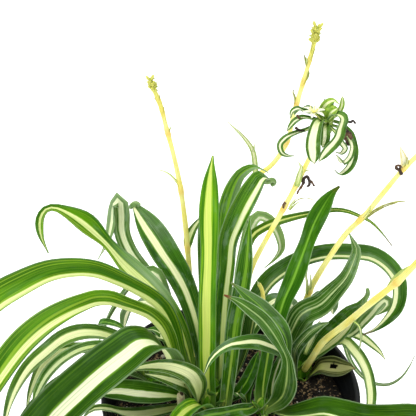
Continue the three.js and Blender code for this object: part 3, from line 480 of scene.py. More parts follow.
# Each leaf: kind of blade, heading, width, fold, roll, stripe half width, stripe shift, tint, wave, darkness
# (a sheen below nought), dryness of the tip and the middle line. A list runs from root to tip.
leaves = {
    "leaf_upright_front": ("sunny", 90, [16, 12, 10.5, 10, 9.5, 14, 14], [30, 12, 8], 0,
        [0.34, 0.36, 0.42, 0.44, 0.4, 0.32, 0.25], -0.1, 0.12, 0.3, [0.3, 0, 0, 0], 0,
        [(-13, -3, 126), (-14, -3, 154), (-14, -3, 182), (-14, -1, 210), (-13, 10, 238), (-13, 17, 262),
         (-12, 22, 280), (-11, 23, 290)]),
    "leaf_upright_back": ("lime", 75, [13, 11, 9, 8.5, 9, 9.5, 10.5, 9, 5], [30, 14, 14],
        [0, 10, 15, 12, 15, 50], [0.1, 0.12, 0.12, 0.1, 0.05], [0, 0.1, 0.2, 0.1, 0], 0.31, 0.4,
        [0.3, 0.1, 0, -0.2, -0.6], 0,
        [(-11, 17, 138), (-8, 25, 165), (-5, 33, 190), (-5, 40, 214), (-4, 45, 232), (-2, 48, 243),
         (1, 51, 252), (5, 53, 259), (9, 55, 261), (13, 58, 261), (18, 60, 258), (22, 61, 255)]),
    "leaf_upright_right": ("spring", 72, [20, 13.5, 10.5, 10, 10.5, 13, 15, 11], [35, 16, 12],
        [0, 12, 15, 12, 15, 50], [0.36, 0.32, 0.26, 0.22, 0.2, 0.18], [0.25, 0.28, 0.34, 0.4, 0.46, 0.5],
        0.52, 0.4, [0.7, 0.6, 0.3, 0, 0.2], 0,
        [(-6, 6, 136), (-6, 12, 166), (-5, 18, 194), (-3, 24, 215), (-2, 28, 230), (2, 31, 242),
         (7, 34, 253), (12, 38, 261), (16, 43, 264), (21, 48, 259), (25, 50, 254)]),
    "leaf_short_centre": ("lime", 80, [14, 11, 10.5, 10.5, 10.5, 8], [35, 20], 0, [0.1, 0.14, 0.14, 0.08],
        [0, 0.1, 0.2], 0.75, 0.3, [1.4, 1.1, 0.6], 0,
        [(-3, -3, 126), (0, 2, 160), (2, 4, 192), (5, 6, 210), (7, 8, 228), (8, 10, 244), (9, 12, 257)]),
    "leaf_thin_centre": ("cream", 20, 5, [40, 50], 0, 0.4, 0, 0.2, 0.2, 0, 0,
        [(-4, 9, 132), (5, 20, 158), (12, 28, 210), (11, 31, 230), (9, 34, 240)]),
    "leaf_broad_left": ("striped", 118, [14, 13, 11.5, 13, 15.5, 18, 18, 8], [35, 12, 8],
        [0, -15, -20, -20, -20, -45], [0.2, 0.23, 0.23, 0.22, 0.24, 0.28], [0, 0, -0.05, -0.15, -0.3, -0.5],
        0.43, 0.5, [0.8, 0.7, 0.3, -0.15, -0.15], 0,
        [(-18, 14, 138), (-18, 17, 156), (-21, 20, 176), (-25, 26, 189), (-31, 33, 201), (-39, 40, 212),
         (-45, 46, 220), (-51, 52, 227), (-56, 57, 232), (-59, 60, 234), (-61, 61, 231)]),
    "leaf_back_left_hook": ("grey", 130, [12, 9.5, 8.5, 9, 10, 11, 9, 3], [40, 15, 20],
        [0, -25, -30, -30, -30, -40, -110, -130], 0.3, 0, 0.66, 0.4, [1, 1, 0.8, 0.2, -0.3, -0.2], 0,
        [(-27, 16, 131), (-31, 27, 155), (-39, 42, 172), (-51, 54, 183), (-62, 62, 195), (-67, 67, 207),
         (-67, 70, 220), (-68, 72, 228), (-71, 71, 226), (-73, 68, 214), (-77, 65, 200), (-83, 62, 189)]),
    "leaf_left_high": ("bright", 183, [9, 10, 11, 11, 12.5, 11.5, 7, 12.5, 5, 8, 5], [45, 24, 18, 25, 30],
        [0, -40, -60, -68, -65, -60, -55, -90, -105], [0.2, 0.25, 0.36, 0.38, 0.3, 0.22, 0.26, 0.3],
        [0, -0.1, -0.3, -0.15, 0], 0.35, 0.5, [0.9, 0.9, 0.1, -0.7, -0.4, 0, 0, 0, -0.2], 0,
        [(-22, 9, 138), (-28, 12, 168), (-35, 14, 188), (-45, 14, 206), (-61, 16, 225), (-72, 17, 240),
         (-82, 18, 251), (-93, 19, 258), (-98, 20, 259), (-102, 20, 258), (-106, 20, 252), (-107, 20, 240),
         (-104, 20, 227)]),
    "leaf_left_upper": ("bright", 198, [9, 9, 9.5, 9, 11, 15, 15.5, 15, 13], [45, 30, 25, 25, 20],
        [0, -50, -85, -80, -65, -55, -45, -40, -30], [0.1, 0.35, 0.3, 0.18, 0.14, 0.2, 0.24, 0.2],
        [-0.4, -0.55, -0.7, -0.82, -0.8, -0.65, -0.55, -0.5], 0.84, 0.5, [0.8, 0.7, 0.5, 0, 0, 0], 0,
        [(-24, 3, 138), (-29, 1, 166), (-34, -1, 194), (-39, -4, 210), (-45, -7, 220), (-52, -11, 229),
         (-60, -16, 239), (-71, -22, 250), (-81, -28, 256), (-93, -36, 260), (-105, -44, 259),
         (-118, -51, 254), (-134, -58, 238), (-150, -64, 210), (-160, -68, 182), (-164, -70, 158)]),
    "leaf_left_lower": ("bright", 208, [11, 10, 9, 7.5, 10, 13.5, 14, 13, 11], [45, 30, 25, 25, 20],
        [0, -50, -90, -85, -65, -50, -45, -40, -30], [0.1, 0.4, 0.3, 0.16, 0.2, 0.2, 0.2, 0.2],
        [-0.4, -0.5, -0.7, -0.8, -0.55, -0.4, -0.3, -0.25], 0.95, 0.5, [0.7, 0.4, 0, 0, 0], 0,
        [(-26, 1, 130), (-32, -5, 166), (-38, -9, 198), (-44, -12, 210), (-50, -16, 218), (-57, -20, 225),
         (-65, -27, 235), (-72, -32, 239), (-78, -38, 241), (-84, -45, 243), (-93, -54, 243),
         (-103, -64, 239), (-113, -75, 230), (-126, -85, 210), (-136, -92, 184), (-141, -95, 158)]),
    "leaf_left_behind": ("grey", 170, 11, [40, 25, 30], 0, 0.3, 0, 0.08, 0.4, 0, 0,
        [(-28.5, 9, 126), (-35, 16, 164), (-40, 24, 196), (-45, 26, 207), (-52, 25, 206), (-62, 24, 194),
         (-72, 23, 177), (-81, 22, 156)]),
    "leaf_front_left_big": ("shaded", 226, [13, 19, 26, 29, 31, 30], [40, 30, 16, 14, 18, 20], 0, 0.26,
        [0, -0.05, -0.1, -0.12], 0.57, 0.6, [1, 0.7, 0.6, 0.7], 0,
        [(-26, -3, 127), (-32, -10, 152), (-35, -17, 176), (-38, -26, 196), (-42.5, -34, 209),
         (-49, -40.5, 214.5), (-57.5, -46, 211), (-69.5, -52, 204), (-82.5, -60, 196), (-95.5, -70, 187),
         (-109, -83, 172), (-118, -92, 149), (-121, -96, 128)]),
    "leaf_low_left_one": ("cream", 195, [9, 11, 12, 12, 10, 8, 5], [40, 20, 12],
        [0, -40, -80, -60, -45, -40], 0.48, 0, 0.29, 0.6, 0.4, 0,
        [(-21, -3, 125), (-20, -11, 141), (-20, -15, 159), (-25, -26, 179), (-36, -34, 192),
         (-45, -37, 195), (-52, -39, 195), (-57, -41, 193)]),
    "leaf_low_left_two": ("cream", 206, [6, 8, 9, 8, 6], [40, 25, 15], [0, -60, -80, -60, -60], 0.34, 0,
        0.71, 0.7, 0.6, 0,
        [(-23, -2, 125), (-24, -6, 139), (-25, -11, 152), (-30, -20, 165), (-38, -27, 176), (-44, -30, 181),
         (-48, -31, 183)]),
    "leaf_low_left_three": ("shaded", 192, [9, 19, 19], [40, 15, 10], 0, 0.28, 0, 0.48, 0.5, 0.3, 0,
        [(-27, 5, 124), (-34, 2, 130), (-44, -2, 135), (-56, -6, 141), (-68, -9, 146), (-78, -12, 147)]),
    "leaf_dried_front": ("cream", 195, [9, 12, 13, 12], [20, 10, 30], [0, 15, 40], 0.5, 0, 0.61, 0.9, 0.2,
        1,
        [(-27, 1, 123), (-38, -6, 127), (-52, -13, 131), (-64, -18, 137), (-72, -20, 142), (-80, -22, 144),
         (-88, -24, 138)]),
    "leaf_front_short": ("sunny", 248, [7, 10, 12, 11, 11], [35, 25, 20], 0, [0.2, 0.3], 0, 0.9, 0.4, 0, 0,
        [(-13, -5, 125), (-14, -20, 141), (-19, -26, 153), (-26, -31, 154), (-33, -35, 147),
         (-38, -40, 137)]),
    "leaf_arch_right": ("golden", 358, [12, 8.5, 6.5, 6, 5.5, 3.5, 2.5, 2], [40, 30, 25, 20],
        [0, 40, 60, 60, 55, 55, 60], [0.3, 0.3, 0.3, 0.26, 0.15, 0.08, 0.05], 0, 0.18, 0.3, 0.2, 0.5,
        [(-4, 15, 130), (5, 30, 168), (7, 38, 202), (13, 45, 221), (19, 46, 226), (26, 46, 230),
         (35, 45, 234), (43, 44, 237), (59, 43, 241), (66, 42, 241), (73, 42, 238), (81, 41, 234),
         (88, 40, 227), (95, 39, 218)]),
    "leaf_hook_back": ("pale", 350, [11, 9, 7, 8, 8, 7, 7, 4], [40, 30, 20],
        [0, 45, 60, 70, 80, 60, 80, 90], 0.2, 0.4, 0.39, 0.3, 0, 0,
        [(-6, 21, 131), (3, 42, 158), (9, 56, 200), (13, 59, 219), (17, 61, 224), (22, 62, 222),
         (27, 62, 216), (31, 61, 207), (32, 61, 198), (28, 60, 191), (22, 60, 184)]),
    "leaf_long_right": ("striped", [20, 8, 0, -5], [13, 12, 12, 11, 10.5, 10, 10, 10.5, 11.5, 7],
        [40, 30, 20, 20, 25], [0, 20, 45, 50, 50, 50, 55, 85, 115, 125],
        [0.1, 0.1, 0.12, 0.12, 0.12, 0.18, 0.28, 0.3], [0.4, 0.5, 0.6, 0.6, 0.6, 0.55, 0.55], 0.79, 0.5,
        [0.2, -0.1, -0.2, 0, -0.3, -0.1, 0.5], 0.5,
        [(-2, 8, 126), (9, 20, 150), (14, 30, 178), (22, 33, 196), (32, 36, 204), (44, 38, 210),
         (57, 38, 214), (70, 37, 215), (83, 36, 214), (93, 34, 208), (100, 33, 198), (102, 31, 187),
         (101, 30, 177), (96, 29, 168), (89, 28, 161), (82, 28, 157)]),
    "leaf_back_tall": ("striped", 88, [7, 13, 14], [40, 25, 20], 0, 0.25, 0, 0.26, 0.5, 0, 0.5,
        [(-16, 21, 125), (-14, 44, 184), (-14, 60, 204), (-13, 80, 208), (-10, 106, 192), (-6, 128, 160)]),
    "leaf_back_low_right": ("striped", 62, 13, [40, 25, 20], 0, 0.27, 0, 0.63, 0.5, 0, 0,
        [(-4, 17, 124), (10, 38, 142), (26, 66, 147), (38, 84, 138), (46, 97, 118), (50, 104, 94)]),
    "leaf_back_low_middle": ("bright", 86, 13, [40, 25, 20], 0, 0.2, 0, 0.14, 0.5, 0, 0.7,
        [(-12, 20, 123), (-9, 44, 139), (-6, 72, 147), (-2, 96, 136), (2, 110, 110)]),
    "leaf_back_low_left": ("striped", 125, 13, [40, 25, 20], 0, 0.25, 0, 0.88, 0.5, 0, 0,
        [(-23, 19, 124), (-34, 42, 142), (-50, 66, 147), (-60, 80, 138), (-70, 93, 118), (-75, 100, 94)]),
    "leaf_front_low_left": ("striped", 242, [7, 12, 12], [40, 25, 20], 0, 0.25, 0, 0.33, 0.5, 0, 0,
        [(-19, -4, 125), (-24, -30, 132), (-40, -58, 145), (-56, -80, 133), (-66, -92, 106)]),
    "leaf_front_low_middle": ("bright", 270, [7, 12, 12], [40, 25, 20], 0, 0.2, 0, 0.46, 0.5, 0, 0.7,
        [(-9, -4, 124), (-10, -28, 132), (-12, -56, 145), (-14, -82, 140), (-15, -98, 114)]),
    "leaf_broad_right": ("leafy", 48, [17, 13, 9.5, 9.5, 10, 12, 10, 16, 18], [50, 25, 14, 12],
        [0, 25, 30, 25, 25], [0.12, 0.12, 0.1, 0.08, 0], 0, 0.55, 0.3, [0, 0, 0.2, 0.3], 0.3,
        [(20, -2, 124), (20, 2, 140), (22, 6, 160), (24, 10, 174), (28, 14, 184), (31, 18, 194),
         (36, 23, 205), (40, 28, 215), (44, 32, 227), (48, 36, 238), (53, 39, 248), (57, 41, 254),
         (61, 42, 258)]),
    "leaf_low_centre": ("leafy", 75, [10, 9, 8, 7], [35, 20], 0, 0.08, 0, 0.65, 0.3, 1.1, 0,
        [(-1, 4, 126), (7, 5, 134), (13, 9, 145), (17, 14, 156)]),
    "leaf_folded_front": ("sage", [90, 90, 100, 140, 180, 190], [11, 15, 15, 8, 5, 8, 9, 9.5, 8],
        [35, 20, 15, 20, 20], [-30, -35, -15, -10, -15, -40, -50, -55, -50], 0.04, 0, 0.22, 0.4,
        [0.6, 0.6, 0.3, -0.1], 1,
        [(22, -6, 128), (30, -10, 142), (32, -12, 157), (32, -13, 169), (31, -14, 178), (27, -15, 189),
         (22, -16, 200), (16, -18, 211), (9, -20, 220), (2, -21, 227), (-5, -22, 232)]),
    "leaf_folded_behind": ("plain", [90, 90, 100, 140, 170, 175], [9, 9.5, 8, 5, 7, 11, 11.5, 9.5, 8],
        [40, 20, 15, 20, 20], [-20, -20, -10, -5, -25, -40, -50, -55, -50], 0.04, 0, 0.81, 0.3,
        [0.2, 0, -0.1, -0.3], 0.3,
        [(23, 3, 126), (32, 2, 134), (35, 2, 145), (35, 2, 156), (33, 1, 166), (32, 0, 178), (28, -1, 189),
         (21, -2, 199), (14, -4, 210), (6, -6, 220), (-1, -7, 228)]),
    "leaf_arc_front": ("striped", [90, 100, 160, 190, 195], [8, 6, 5, 5, 8, 9, 8, 6, 5], [40, 20, 15, 20],
        [-20, -30, -25, -30, -30, -40, -40, -45, -50], 0.23, 0, 0.04, 0.4, [1, 0.8, 0.5, 0], 0,
        [(23, -2, 126), (29, -4, 135), (33, -4, 147), (34, -5, 158), (33, -5, 167), (28, -6, 176),
         (20, -11, 186), (12, -17, 194), (5, -22, 198), (-2, -26, 200), (-8, -29, 198), (-12, -32, 195),
         (-16, -34, 185)]),
    "leaf_front_cross": ("plain", 200, [9, 9, 8.5, 9.5, 9], [40, 25, 20], [0, -30, -40, -40, -35], 0.1, 0.2,
        0.68, 0.4, 0, 0,
        [(16, -1, 126), (12, -9, 131), (4, -16, 137), (-5, -23, 142), (-15, -29, 146), (-23, -32, 145),
         (-28, -36, 141)]),
    "leaf_front_right": ("shaded", 340, [10, 12.5, 13, 13.5, 14.5, 15, 14], [40, 20, 18, 22],
        [0, 30, 40, 45, 45, 40], [0.1, 0.08, 0.04], 0.7, 0.93, 0.4, [-0.1, 0, 0.4, 0.4], 0,
        [(24, -3, 124), (35, -12, 131), (45, -18, 140), (54, -22, 147), (65, -28, 150), (75, -34, 153),
         (87, -42, 161), (98, -48, 168), (109, -54, 171), (119, -59, 166), (127, -63, 153)]),
    "leaf_front_low_right": ("striped", 295, [7, 12, 12], [40, 25, 20], 0, 0.25, 0, 0.37, 0.5, 0, 0,
        [(20, -5, 123), (24, -27, 131), (38, -54, 145), (52, -76, 133), (58, -86, 106)]),
    "leaf_striped_right": ("lined", 60, [12, 11.5, 13, 15, 13.5, 10, 9, 9], [45, 22, 15, 20],
        [0, 15, 10, 0, 0, 10, 30], 0.04, 0, 0.5, 0.5, [0.4, 0.2, 0, -0.3], 0,
        [(38, 32, 127), (36, 25, 150), (38, 24, 165), (43, 23, 179), (53, 21, 188), (60, 19, 200),
         (66, 18, 211), (69, 18, 222), (70, 18, 231), (67, 18, 238), (65, 18, 242)]),
    "leaf_low_right": ("lined", 30, [9, 8, 7.5, 8], [40, 25], [0, 35, 35], 0.04, 0, 0.16, 0.3, 1.2, 0,
        [(43, 26, 126), (40, 19, 152), (44, 16, 165), (49, 15, 173), (54, 15, 177), (58, 15, 179)]),
    "leaf_dark_right": ("striped", 25, [11, 12, 13, 15, 14, 10, 7], [45, 25, 20], [0, 20, 30, 35, 40],
        [0.2, 0.2, 0.18, 0.15], [0.5, 0.55, 0.6, 0.6], 0.73, 0.3, [0.9, 0.7, 0.5, 0, -0.5], 0,
        [(44, 31, 125), (48, 30, 134), (54, 29, 143), (61, 28, 154), (68, 27, 166), (73, 26, 177),
         (78, 26, 182), (80, 26, 187), (81, 26, 193)]),
    "leaf_curl_right": ("grey", 355, [8, 6, 6, 8, 10, 10, 9, 7], [40, 30, 20],
        [0, 30, 50, 60, 60, 60, 90, 120], [0.2, 0.2, 0.25], [0.6, 0.5, 0.3], 0.41, 0.3,
        [1, 0.8, -0.2, -0.2], 0,
        [(51, 34, 126), (60, 35, 140), (68, 36, 147), (77, 36, 153), (82, 37, 161), (87, 37, 169),
         (91, 37, 176), (95, 37, 179), (98, 37, 175), (95, 37, 169), (91, 37, 165)]),
    "leaf_on_soil": ("dry", 335, [9, 9, 11, 13, 11, 8], [25, 10, 5], [0, 20, 40, 45], [0.3, 0.4, 0.35], 0.1,
        0.87, 0.3, [1.2, 0.8, 0.5, 0.3], 0.6,
        [(50, 23, 124.5), (54, 21, 133), (57, 20, 138), (63, 17, 141), (68, 14, 143), (73, 11, 146),
         (76, 9, 147)]),
    "leaf_hang_right": ("cream", 330, [8, 5.5, 6, 7.5, 7, 7, 7, 7], [30, 20, 10], [0, 40, 45, 50, 55, 60],
        [0.55, 0.5, 0.42], [0.1, 0.15, 0.2], 0.24, 0.3, [0.2, -0.2, -0.2, 0], 0,
        [(51, 29, 130), (60, 27, 144), (66, 26, 153), (71, 24, 156), (75, 20, 154), (80, 16, 149),
         (84, 12, 142), (86, 8, 135), (87, 5, 129), (87, 2, 121), (86, -1, 111), (85, -4, 102)]),
    "leaf_hang_thin": ("grey", 350, [5, 4, 3.5, 3, 2.5, 2, 1.5, 1.5], [30, 20, 10], [0, 40, 60, 50, 60],
        0.1, 0, 0.59, 0.2, 0.2, 0.4,
        [(51, 38, 126), (57, 40, 139), (64, 41, 145), (70, 41, 143), (74, 41, 137), (77, 41, 128),
         (82, 41, 117), (90, 40, 107), (97, 40, 102), (106, 39, 102), (113, 38, 109), (117, 37, 120),
         (119, 36, 131)]),
    "leaf_small_right": ("cream", 355, [6, 5, 5, 6, 5.5, 4], [30, 25, 20], [0, 40, 50, 60], 0.5, 0, 0.98,
        0.2, 0, 0,
        [(48, 40, 126), (54, 45, 138), (61, 48, 145), (68, 50, 144), (75, 51, 141), (81, 51, 137),
         (88, 51, 133), (94, 50, 128), (100, 49, 122), (104, 48, 116)]),
    "leaf_back_right_low": ("striped", 58, 13, [40, 25, 20], 0, 0.25, 0, 0.69, 0.5, 0, 0,
        [(44, 42, 123), (48, 51, 138), (55, 63, 146), (64, 79, 143), (71, 92, 130), (76, 102, 108)]),
    "leaf_striped_left": ("cream", 200, 14, [40, 20, 15, 20], 0, [0.3, 0.4, 0.3], 0, 0.1, 0.6, 0, 0,
        [(-53, 22, 126), (-57, 19, 148), (-65, 14, 164), (-77, 8, 176), (-88, 3, 181), (-97, -2, 181),
         (-106, -7, 176), (-116, -13, 169), (-124, -20, 158), (-130, -28, 142), (-132, -33, 126)]),
    "leaf_fold_left": ("cream", 205, 11, [40, 25, 25], 0, 0.42, 0, 0.77, 0.5, 0, 0,
        [(-55, 22, 126), (-64, 16, 145), (-75, 10, 159), (-89, 4, 167), (-100, 0, 169), (-109, -5, 164),
         (-116, -11, 152), (-121, -17, 138)]),
    "leaf_strap_left": ("lined", 212, 10, [40, 25, 20], 0, 0.2, 0, 0.27, 0.5, 0, 0,
        [(-49, 16, 124), (-60, 10, 139), (-74, 4, 151), (-88, -5, 157), (-100, -14, 157), (-112, -24, 151),
         (-122, -33, 141), (-129, -41, 128)]),
}

# torn places in old leaves: middle and radius
holes = {"leaf_on_soil": [((64, 16.6, 141.3), 1.9), ((65.6, 16.2, 142), 1.4), ((62.6, 17.4, 141), 1.1)]}
crownReach = 14  # how far a leaf goes on below its first knot

for node, (kind, heading, width, fold, roll, stripe, shift, tint, wave, dark, dry, line) in leaves.items():
    bm = bmesh.new()
    addBlade(bm, line, heading, width, fold, roll, (stripe, shift, tint, dark, dry),
             rows=60 if node in holes else 0, foot=crownReach, wave=wave)
    for centre, reach in holes.get(node, []):
        torn = [face for face in bm.faces if (face.calc_center_median() / mm - Vector(centre)).length < reach]
        bmesh.ops.delete(bm, geom=torn, context="FACES")
    finishPiece(bm, pieceName(node), [node], bladeMaterials[kind],
                bladeForm["thickness"])
print("leaves made:", len(leaves))

# small leaves in the gaps: kind, width, heading, fold, stripe half width and middle line
fillLeaves = {
    "leafInnerLeft": ("cream", 9, [100, 150], 15, 0.5, [(-21.2, 22, 128), (-26.6, 23.5, 146),
        (-35.7, 23, 158), (-45.4, 22.9, 160), (-51.7, 22, 154)]),
    "leafCurlLeft": ("plain", 5.5, 200, 15, 0.1, [(-58, -13, 196.8), (-62.3, -12.5, 201.1),
        (-67.2, -12, 203.2), (-72.3, -11, 203), (-74.8, -10, 200)]),
    "leafLowTwist": ("lined", 8.5, [195, 230], 25, 0.3, [(-64, -14, 187.5), (-74.8, -17, 190.6),
        (-85.2, -22, 191.6), (-94.6, -28, 189), (-101.9, -34, 183.5), (-106.4, -38, 176.5),
        (-109.7, -40, 169)]),
    "leafInnerFold": ("fresh", 7, 80, 30, 0.15, [(26.4, 1, 124), (25.5, 3, 134.7), (27, 6, 145.4),
        (29.9, 9, 154.2), (31.5, 11, 160.5)]),
    "leafInnerBase": ("leafy", 8, 80, 35, 0.1, [(10.6, 3, 121.6), (9.8, 5, 131), (12.8, 9, 139),
        (17.1, 14, 146)]),
    "leafInnerGap": ("fresh", 7, [90, 150], 25, 0.1, [(-33, 22, 136), (-35.9, 23.7, 148), (-40, 24.6, 158),
        (-46, 26.6, 162), (-52, 29.7, 160)]),
    "leafInnerCentre": ("fresh", 5, 60, 30, 0.1, [(-2.5, 1.4, 124), (1.1, 3.1, 132), (5.3, -0.3, 134),
        (9.7, -0.5, 129)]),
    "leafInnerRight": ("cream", 3.6, 70, 20, 0.6, [(45.7, 16, 152), (47.6, 16, 160), (49.6, 16, 167),
        (50.9, 16, 173.7), (53, 16, 179)]),
    "leafHangNarrow": ("cream", 2.8, 330, 20, 0.4, [(71.4, 8, 186), (74, 8, 183.4), (76, 8, 178),
        (76.7, 8, 170), (76.6, 8, 162.6)]),
}
for name, (kind, width, heading, fold, stripe, line) in fillLeaves.items():
    bm = bmesh.new()
    addBlade(bm, line, heading, width, fold, 0, (stripe, 0, 0.5, 0, 0.4), wave=0.4)
    finishPiece(bm, name, [], bladeMaterials[kind], bladeForm["thickness"])
print("small leaves made:", len(fillLeaves))


# crowns: a low mound of tissue with short leaf bases laid over it
soilTop = 122
crownForm = {
    "moundDepth": 6, "sheathDepth": 5, "inset": 0.94, "dome": 0.8, "lobes": 7, "lobeDepth": 0.08,
    "rings": [0.55, 0.95], "lifts": [1.1, 0.65],  # inner and outer sheaths in turn
    "profile": [1, 1, 1, 1, 0.97, 0.9, 0.78, 0.5],
}
crowns = {
    "crown_left": {"x": -15, "y": 8, "radius": 15, "top": 146, "sheaths": 22, "seed": 3},
    "crown_right": {"x": 20, "y": -1, "radius": 6, "top": 134, "sheaths": 10, "seed": 5},
    "crown_back_right": {"x": 44, "y": 33, "radius": 10, "top": 134, "sheaths": 14, "seed": 8},
    "crown_back_left": {"x": -50, "y": 24, "radius": 8, "top": 132, "sheaths": 12, "seed": 9},
}

for node, crown in crowns.items():
    rng = random.Random(crown["seed"])
    bm = bmesh.new()
    centre = Vector((crown["x"], crown["y"], 0))
    middle = (centre + upward * (soilTop - crownForm["moundDepth"])) * mm
    tall = crown["top"] - soilTop + 4

    def moundPlace(u, v):
        turn, up = 2 * math.pi * u, math.pi / 2 * v
        radius = crown["radius"] * crownForm["inset"] * math.cos(up) ** crownForm["dome"]
        radius *= 1 + crownForm["lobeDepth"] * math.sin(crownForm["lobes"] * turn)
        return middle + Vector((radius * math.cos(turn), radius * math.sin(turn), tall * math.sin(up))) * mm

    addSheet(bm, 42, 14, moundPlace, lambda u, v: Vector((0.3 + 0.3 * v, 0.1, 0)), closed=True)
    for i in range(crown["sheaths"]):
        turn = 360 * (i + 0.5 * rng.random()) / crown["sheaths"]
        out = outward(turn)
        foot = centre + out * crown["radius"] * crownForm["rings"][i % 2]
        foot += upward * (soilTop - crownForm["sheathDepth"])
        lift = upward * tall * (0.7 + 0.3 * rng.random()) * crownForm["lifts"][i % 2]
        lean = out * (2 + 5 * rng.random())
        addBlade(bm, [foot, foot + lean * 0.3 + lift * 0.5, foot + lean + lift], turn,
                 crown["radius"] * (0.7 + 0.3 * rng.random()), [55, 40], 0,
                 (0.3 * rng.random(), 0, rng.random(), 0.2, 0), rows=12, columns=8, wave=0.8,
                 profile=crownForm["profile"])
    finishPiece(bm, pieceName(node), [node], bladeMaterials["sheath"], bladeForm["thinThickness"])
print("crowns made:", len(crowns))


# flower stalks
stalks = {
    "stalk_left": {
        "thickness": [4, 2.4], "buds": (5, 7, 1.7), "joints": [303, 297, 283, 247, 208],
        "line": [(-21, 16, 135), (-25, 34, 162), (-25, 46, 186), (-26, 50, 208), (-28, 53, 234),
                 (-30, 55, 251), (-33, 57, 268), (-37, 59, 286), (-40, 60, 300), (-45, 61, 314)]},
    "stalk_tall": {
        "thickness": [4, 2.4], "buds": (7, 9, 1.8), "joints": [319, 307, 293, 268, 238],
        "line": [(-11, 20, 129), (-9, 34, 142), (-5, 48, 156), (-1, 62, 180), (2, 69, 209), (8, 71, 234),
                 (15, 72, 245), (24, 73, 252), (33, 74, 268), (36, 75, 286), (41, 76, 309), (45, 78, 328),
                 (46, 78, 337)]},
    "stalk_plantlet": {
        "thickness": [3.4, 2.6], "buds": (0, 0, 0), "joints": [270, 255],
        "line": [(-1, 6, 134), (3, 16, 167), (8, 20, 194), (12, 22, 216), (19, 23, 234), (26, 24, 250),
                 (34, 26, 268), (40, 27, 284), (47, 28, 303)]},
    "stalk_right": {
        "thickness": [4, 2.4], "buds": (6, 8, 1.7), "joints": [287, 248, 188],
        "line": [(44, 37, 128), (44, 37, 160), (48, 33, 189), (58, 25, 224), (65, 26, 237), (73, 24, 250),
                 (81, 20, 268), (89, 16, 286), (96, 11, 300), (104, 5, 315), (111, -2, 328)]},
    "stalk_front_right": {
        "thickness": [4.2, 3.4], "buds": (0, 0, 0), "joints": [222, 273],
        "line": [(47, 25, 129), (51, 19, 147), (56, 18, 160), (68, 14, 179), (80, 7, 202), (91, 0, 223),
                 (98, -6, 241), (105, -12, 261), (110, -17, 276)]},
    "stalk_stub": {
        "thickness": [3.2, 2.4], "buds": (0, 0, 0), "joints": [],
        "line": [(20, 4, 128), (23, 10, 143), (24, 15, 161), (22, 18, 177), (19, 18, 192), (18, 18, 201),
                 (15, 18, 208)]},
}
stalkTones = {"skin": (0.95, 0.84, 0.18), "light": (0.98, 0.94, 0.34), "root": (0.6, 0.58, 0.1),
              "joint": (0.85, 0.55, 0.1), "tip": (0.64, 0.64, 0.13)}


def makeStalkMaterial():
    material, tree, shader = startMaterial("stalkSkin", 0.42, 0.2, coat=0.05)
    share, joint, tint = attribute(tree, "look")
    tones = {name: colour(*tone) for name, tone in stalkTones.items()}
    uv = add(tree, "UVMap", uv_map="UVMap").outputs[0]
    lanes = add(tree, "Mapping", {"Vector": uv, "Scale": (18.0, 3.0, 1.0)}).outputs[0]
    fibre = noiseAt(tree, lanes, 2.0, 3.0)
    blotch = noiseAt(tree, add(tree, "TexCoord").outputs["Object"], 90.0, 3.0)
    skin = mixed(tree, ramped(tree, blotch, 0.35, 0.65), tones["skin"], tones["light"])
    skin = mixed(tree, ramped(tree, share, 0.1, 0.0, 0.0, 0.35), skin, tones["root"])
    tan = maths(tree, "MULTIPLY", joint, ramped(tree, blotch, 0.3, 0.6, 0.3, 0.75))
    skin = mixed(tree, tan, skin, tones["joint"])
    green = maths(tree, "MULTIPLY", ramped(tree, share, 0.82, 1.0), tint)
    skin = grained(tree, mixed(tree, green, skin, tones["tip"]), fibre, 0.86, 1.08)
    setSurface(tree, shader, skin, fibre, (0.3, 0.0003), ramped(tree, fibre, 0.3, 0.7, 0.36, 0.5))
    return material


stalkMaterial = makeStalkMaterial()
driedMaterial = makeSpeckled(
    "driedTissue", 0.5, [(420, 4, 0.6), (110, 2, 0.5)], (0.02, 0.01, 0.006),
    [(1, 0.4, 0.62, 1.0, (0.12, 0.06, 0.026)), (0, 0.58, 0.78, 0.5, (0.4, 0.26, 0.12))],
    bump=(0, 0.6, 0.0005), roughness=(0, 0.6, 0.9))


tubeRow = 2.5  # length of a row of faces along a round stem


def addTube(bm, line, radiusAt, lookAt, sides=14, rows=0, slot=0):  # a round stem with closed, rounded ends
    points = evenly(line, rows or max(8, round(lineLength(line) / (tubeRow * mm))))
    last = len(points) - 1
    side = Vector((1, 0.1, 0.05))
    rings = []
    for i, centre in enumerate(points):
        tangent = tangentAt(points, i)
        side = (side - side.dot(tangent) * tangent).normalized()
        rings.append((centre, side.copy(), tangent.cross(side)))

    def place(u, v):
        i = min(last, max(0, round(v * last)))
        centre, a, b = rings[i]
        radius = 0.0 if i in (0, last) else radiusAt(i / last)
        turn = 2 * math.pi * u
        return centre + (a * math.cos(turn) + b * math.sin(turn)) * radius

    addSheet(bm, sides, last, place, lambda u, v: lookAt(v), slot=slot, closed=True)


def addBead(bm, centre, along, length, width, look, slot=0):  # a small pointed oval body
    turn = along.to_track_quat("Z", "Y")

    def place(u, v):
        up, around = math.pi * v, 2 * math.pi * u
        swell = math.sin(up) ** 0.8 * width / 2
        offset = Vector((swell * math.cos(around), swell * math.sin(around), -math.cos(up) * length / 2))
        return centre + turn @ offset

    addSheet(bm, 12, 10, place, lambda u, v: Vector(look) + Vector((0.06 * v, 0, 0)), slot=slot,
             closed=True)


def addThreads(bm, rows, slots):  # each row: kind, radius at the root and middle line
    for kind, radius, line in rows:
        addTube(bm, smoothLine(line, 6),
                lambda share: radius * mm * (1.1 - 0.5 * share + 0.12 * math.sin(share * 17)),
                lambda v: Vector((v, 0, 0)), sides=8, rows=22, slot=slots[kind])


